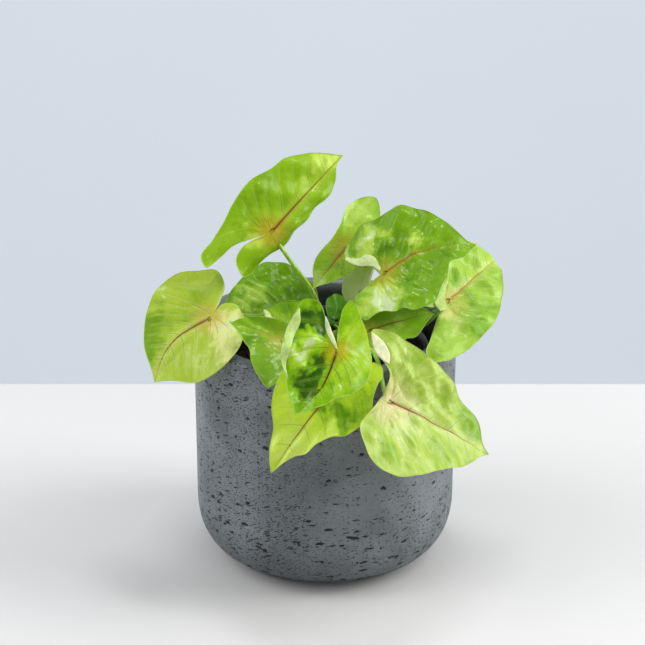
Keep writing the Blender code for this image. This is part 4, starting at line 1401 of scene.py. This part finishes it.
def make_nursery_pot():
    """Thin pot with a rolled rim and a stepped foot, as one closed skin."""
    top = POT_BASE + POT_HEIGHT
    skirt_foot = top - POT_RIM_HEIGHT
    inside = [(1.0, POT_BASE + POT_WALL), (POT_BASE_RADIUS - POT_WALL - 2, POT_BASE + POT_WALL)]
    inside += [(pot_wall(z) - POT_WALL, z) for z in (POT_BASE + 3.0, 50.0, 80.0, 105.0, 118.0, top - 4.0)]
    flare = [(pot_wall(top - 2.0) - POT_WALL + 0.5, top - 1.8)]
    turns = (polar(a, POT_BEAD) for a in np.linspace(150, -20, 9))
    roll = [(POT_RIM_RADIUS - POT_BEAD + dx, top - POT_BEAD + dy) for dx, dy in turns]
    skirt = [(POT_RIM_RADIUS - 0.15, skirt_foot + 0.4), (POT_RIM_RADIUS - 0.6, skirt_foot)]
    outside = [(pot_wall(z), z) for z in (skirt_foot - 0.1, 100.0, 70.0, 40.0, POT_BASE + 2.0)]
    foot = [(POT_BASE_RADIUS - 2, POT_BASE), (20.0, POT_BASE), (1.0, POT_BASE)]
    profile = inside + flare + roll + skirt + outside + foot
    points, faces = turned(profile, POT_COLUMNS, from_inside=True)
    pot = mesh_object("nursery_pot_thin", points, faces, [pot_material()])
    dress(pot, "pot_black", "nursery_pot")


def chunks(places, sizes, seed):
    """Points and faces of small uneven stones, each an eight-sided lump with its corners moved at random."""
    draw = np.random.default_rng(seed)
    octa = np.array([(1, 0, 0), (-1, 0, 0), (0, 1, 0), (0, -1, 0), (0, 0, 1), (0, 0, -1)], float)
    shell = [(4, 0, 2), (4, 2, 1), (4, 1, 3), (4, 3, 0), (5, 2, 0), (5, 1, 2), (5, 3, 1), (5, 0, 3)]
    points, faces = [], []
    for place, size in zip(places, sizes):
        spin = draw.normal(size=(3, 3))
        spin, _ = np.linalg.qr(spin)
        lump = octa * draw.uniform(0.65, 1.25, (6, 1)) * (1.0, draw.uniform(0.6, 1.0), LUMP_SQUASH)
        lump = lump @ (spin if np.linalg.det(spin) > 0 else -spin).T
        faces += [tuple(corner + 6 * len(points) for corner in face) for face in shell]
        points.append(place + size * lump)
    return np.concatenate(points), faces


def mix_level(x, y):
    """Height of the potting mix's surface over a place."""
    places = np.column_stack([x, y])
    return MIX_TOP + 0.9 * ripple(places, 22.0, MIX_SEED) + 0.5 * ripple(places, 7.0, MIX_SEED + 1)


def mix_radius():
    """Radius of the potting mix at its surface, just clear of the nursery pot."""
    return pot_wall(MIX_TOP) - POT_WALL - 1.5 * MIX_GAP


def make_mix():
    """The mix as a plug with an uneven top, and loose crumbs, bark and pale grains lying on it."""
    rim = mix_radius()
    under = POT_BASE + POT_WALL + MIX_GAP
    profile = [(radius, MIX_TOP) for radius in (*np.linspace(0.6, rim - 0.6, 46), rim)]
    profile += [(rim, MIX_TOP - 3.0), (rim - 8.0, 50.0), (POT_BASE_RADIUS - 7, under), (1.0, under)]
    points, faces = turned(profile, 150, from_inside=True)
    top = points[:, 2] > MIX_TOP - 0.5
    points[top, 2] = mix_level(points[top, 0], points[top, 1])
    points[top, 2] += 0.35 * ripple(points[top], 2.6, MIX_SEED + 2)
    made = settings("mix")
    peat = crumb_material("peat", shade(made.colour, 0.45), shade(made.colour, 1.9), 420.0)
    plug = mesh_object("mix_plug", points, faces, [peat])
    dress(plug, "potting_mix", "potting_mix")

    bark = crumb_material("bark", (0.035, 0.018, 0.010), (0.10, 0.052, 0.028), 500.0)
    pale = crumb_material("pale_grain", (0.50, 0.47, 0.42), (0.80, 0.78, 0.74), 700.0)
    kinds = (
        ("mix_crumbs", made.crumbs, (0.5, 1.5), peat),
        ("mix_bark", made.crumbs // CRUMBS_A_BARK, (1.2, 2.6), bark),
        ("mix_pale_grains", made.pale_crumbs, (0.6, 1.5), pale),
    )
    draw = np.random.default_rng(CRUMB_SEED)
    for number, (name, count, sizes, material) in enumerate(kinds):
        out = (rim - 2.0) * np.sqrt(draw.random(count))
        turn = draw.uniform(0, 2 * math.pi, count)
        x, y = out * np.cos(turn), out * np.sin(turn)
        size = draw.uniform(*sizes, count)
        places = np.column_stack([x, y, mix_level(x, y) + 0.25 * size])
        lumps, shell = chunks(places, size, LUMP_SEED + number)
        dress(mesh_object(name, lumps, shell, [material], smooth=False), "potting_mix")


def make_dry_roots():
    """Thin dry roots that lie over the mix, one of them up against the pot's wall at the back."""
    points, faces = np.empty((0, 3)), []
    for number, run in enumerate(DRY_ROOTS):
        path = smooth_curve(run, ROOT_STEPS)
        path[:, 2] += 0.25 * ripple(path, 4.0, ROOT_SEED + number)
        own, shell = tube(path, np.linspace(0.32, 0.14, ROOT_STEPS), 6)
        faces += [tuple(corner + len(points) for corner in face) for face in shell]
        points = np.concatenate([points, own])
    root = crumb_material("dry_root", (0.20, 0.12, 0.07), (0.45, 0.32, 0.20), 300.0)
    dress(mesh_object("dry_roots", points, faces, [root]), "potting_mix")


def make_shoots():
    """Short ringed shoots with an old sheath edge at the top."""
    heights = np.linspace(MIX_TOP - 4.0, MIX_TOP + SHOOT_ABOVE, 22)
    radii = SHOOT_RADIUS * (0.90 + 0.06 * np.sin(heights * 2.4) + 0.04 * (heights > MIX_TOP + 4))
    top = heights[-1] + 0.1
    profile = [(1.0, heights[0]), *zip(radii, heights), (SHOOT_RADIUS * 0.7, top), (1.0, top)]
    for number, (name, (x, y)) in enumerate(SHOOTS.items()):
        points, faces = turned(profile, 28)
        points[:, :2] *= 1 + 0.03 * ripple(points, 6.0, SHOOT_SEED + number)[:, None]
        shoot = mesh_object(name + "_ringed", points + (x, y, 0), faces, [stalk_material()])
        dress(shoot, "stalk_green", name)


def make_leaf(leaf):
    """One leaf piece: the fine blade, its stalk and, on some, a strip of margin rolled back."""
    finish = FINISHES[leaf.name]
    points, faces, fields = blade(leaf, finish)
    kinds = [0] * len(faces)
    materials = [leaf_material(leaf, finish), stalk_material()]
    extras = [(*tube(*stalk(leaf, finish), STALK_SIDES), 1)]
    for strip in FLAPS.get(leaf.name, ()):
        extras.append((*flap(leaf, finish, strip), len(materials)))
        materials.append(plain_leaf_material("rolled_" + leaf.name, strip.colour))
    for own, shell, kind in extras:
        start = len(points)
        points = np.concatenate([points, own])
        faces = faces + [tuple(corner + start for corner in face) for face in shell]
        kinds += [kind] * len(shell)
        for key, values in fields.items():
            blank = np.zeros((len(own), values.shape[1])) if values.ndim == 2 else np.zeros(len(own))
            fields[key] = np.concatenate([values, blank])
    piece = mesh_object(leaf.name + "_fine", points, faces, materials, fields, kinds)
    dress(piece, leaf.tone, leaf.name)


# Stage


CAMERA_AIM = (-0.0015, 0.0, 0.140)
CAMERA_DISTANCE = 1.2
CAMERA_RISE = 22.3
CAMERA_LENS = 117.2

# Floor and backdrop, in metres. The backdrop hangs far away, out of the lamps' reach, so it glows.
STAGE_SIDE = 8.0
FLOOR_FRONT = -3.0
FLOOR_BACK = 0.228
BACKDROP_AWAY = 2.4
BACKDROP_HALF = 4.0
BACKDROP_GLOW = 0.40
LAMP_AIM = (0.0, 0.0, 0.12)


@dataclass
class Lamp:
    """A square lamp turned to the plant, with its share of the key or the fill power."""

    name: str
    place: tuple
    size: tuple
    role: str
    share: float
    colour: tuple


LAMPS = (
    Lamp("key_high", (1.0, -0.09, 1.1), (0.63, 0.9), "key_power", 0.64, (1.0, 1.0, 0.99)),
    Lamp("key_low", (1.3, -0.11, 0.45), (0.68, 0.9), "key_power", 0.85, (1.0, 1.0, 0.99)),
    Lamp("top", (0.10, 0.13, 1.35), (0.42, 0.19), "key_power", 0.28, (1.0, 1.0, 1.0)),
    Lamp("fill_high", (-1.0, -0.11, 1.0), (0.68, 0.9), "fill_power", 0.75, (0.98, 0.99, 1.0)),
    Lamp("fill_low", (-1.1, -0.5, 0.60), (0.9, 0.7), "fill_power", 0.52, (0.98, 0.99, 1.0)),
)


def facing(direction):
    """The turn that makes an object's Z axis point along a direction."""
    return direction.to_track_quat("Z", "Y").to_euler()


def add_lamp(lamp):
    light = bpy.data.lights.new(lamp.name, "AREA")
    light.shape = "RECTANGLE"
    light.size, light.size_y = lamp.size
    light.energy = lamp.share * getattr(settings("stage"), lamp.role)
    light.color = lamp.colour
    obj = bpy.data.objects.new(lamp.name, light)
    obj.location = lamp.place
    obj.rotation_euler = facing(Vector(lamp.place) - Vector(LAMP_AIM))
    bpy.context.scene.collection.objects.link(obj)


def add_sheet(name, near, far, material):
    """A plain sheet as broad as the stage between two edges, each (y, z) in metres."""
    points = [(x, *edge) for edge in (near, far) for x in (-STAGE_SIDE, STAGE_SIDE)]
    sheet = mesh_object(name, np.array(points) / MM, [(0, 1, 3, 2)], [material])


def add_sky():
    """Even light from all round, seen in reflections."""
    world = bpy.data.worlds.new("studio")
    world.use_nodes = True
    sky = world.node_tree.nodes["Background"]
    sky.inputs["Color"].default_value = (0.98, 0.99, 1.0, 1.0)
    sky.inputs["Strength"].default_value = settings("stage").sky
    bpy.context.scene.world = world


def add_camera():
    lens = bpy.data.cameras.new("camera")
    lens.lens = CAMERA_LENS
    lens.clip_start, lens.clip_end = 0.05, 20.0
    camera = bpy.data.objects.new("camera", lens)
    rise = math.radians(CAMERA_RISE)
    back = Vector((0.0, -math.cos(rise), math.sin(rise)))
    camera.location = Vector(CAMERA_AIM) + back * CAMERA_DISTANCE
    camera.rotation_euler = facing(back)
    bpy.context.scene.collection.objects.link(camera)
    bpy.context.scene.camera = camera


def make_stage():
    made = settings("stage")
    floor = stage_material("stage_floor_paint", tuple(made.floor_colour), 0.55)
    backdrop = stage_material("stage_backdrop_paint", tuple(made.backdrop_colour), 0.9, BACKDROP_GLOW)
    add_sheet("stage_floor", (FLOOR_FRONT, 0.0), (FLOOR_BACK, 0.0), floor)
    add_sheet("stage_backdrop", (BACKDROP_AWAY, -BACKDROP_HALF), (BACKDROP_AWAY, BACKDROP_HALF), backdrop)
    for lamp in LAMPS:
        add_lamp(lamp)
    add_sky()
    add_camera()
    bpy.context.scene.view_settings.view_transform = "Standard"


# Operators


class SYNGONIUM_OT_planter(Operator):
    """Add the pitted planter in place of its solid"""

    bl_idname = "syngonium.planter"
    bl_label = "Planter"

    def execute(self, context):
        make_planter()
        return {"FINISHED"}


class SYNGONIUM_OT_nursery_pot(Operator):
    """Add the thin black nursery pot in place of its solid"""

    bl_idname = "syngonium.nursery_pot"
    bl_label = "Nursery pot"

    def execute(self, context):
        make_nursery_pot()
        return {"FINISHED"}


class SYNGONIUM_OT_potting_mix(Operator):
    """Add the potting mix with its crumbs, bark and pale grains"""

    bl_idname = "syngonium.potting_mix"
    bl_label = "Potting mix"

    def execute(self, context):
        make_mix()
        return {"FINISHED"}


class SYNGONIUM_OT_dry_roots(Operator):
    """Add the dry roots that lie on the potting mix"""

    bl_idname = "syngonium.dry_roots"
    bl_label = "Dry roots"

    def execute(self, context):
        make_dry_roots()
        return {"FINISHED"}


class SYNGONIUM_OT_shoots(Operator):
    """Add the ringed shoots in place of their solids"""

    bl_idname = "syngonium.shoots"
    bl_label = "Shoots"

    def execute(self, context):
        make_shoots()
        return {"FINISHED"}


class SYNGONIUM_OT_leaves(Operator):
    """Add every leaf with its stalk in place of its solid"""

    bl_idname = "syngonium.leaves"
    bl_label = "Leaves"

    def execute(self, context):
        for leaf in LEAVES:
            make_leaf(leaf)
        return {"FINISHED"}


class SYNGONIUM_OT_stage(Operator):
    """Add the floor, the backdrop, the lights and the camera"""

    bl_idname = "syngonium.stage"
    bl_label = "Stage"

    def execute(self, context):
        make_stage()
        return {"FINISHED"}


STEPS = (
    SYNGONIUM_OT_planter,
    SYNGONIUM_OT_nursery_pot,
    SYNGONIUM_OT_potting_mix,
    SYNGONIUM_OT_dry_roots,
    SYNGONIUM_OT_shoots,
    SYNGONIUM_OT_leaves,
    SYNGONIUM_OT_stage,
)
GROUPS = {
    "planter": PlanterSettings,
    "pot": PotSettings,
    "mix": MixSettings,
    "leaf": LeafSettings,
    "stage": StageSettings,
}


class SYNGONIUM_PT_panel(Panel):
    """Lists the plant's settings and the steps that build it"""

    bl_label = "Potted syngonium"
    bl_idname = "SYNGONIUM_PT_panel"
    bl_space_type = "VIEW_3D"
    bl_region_type = "UI"
    bl_category = "Syngonium"

    def draw(self, context):
        for part, group in GROUPS.items():
            box = self.layout.box()
            box.label(text=part.capitalize())
            for name in group.__annotations__:
                box.prop(getattr(context.scene, "syngonium_" + part), name)
        for operator in STEPS:
            self.layout.operator(operator.bl_idname)


def register():
    for group in GROUPS.values():
        bpy.utils.register_class(group)
    for part, group in GROUPS.items():
        setattr(bpy.types.Scene, "syngonium_" + part, PointerProperty(type=group))
    for kind in (*STEPS, SYNGONIUM_PT_panel):
        bpy.utils.register_class(kind)


def unregister():
    for kind in (SYNGONIUM_PT_panel, *reversed(STEPS)):
        bpy.utils.unregister_class(kind)
    for part in GROUPS:
        delattr(bpy.types.Scene, "syngonium_" + part)
    for group in reversed(GROUPS.values()):
        bpy.utils.unregister_class(group)


def main():
    register()
    bpy.ops.syngonium.planter()
    bpy.ops.syngonium.nursery_pot()
    bpy.ops.syngonium.potting_mix()
    bpy.ops.syngonium.dry_roots()
    bpy.ops.syngonium.shoots()
    bpy.ops.syngonium.leaves()
    bpy.ops.syngonium.stage()
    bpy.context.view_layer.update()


if __name__ == "__main__":
    main()
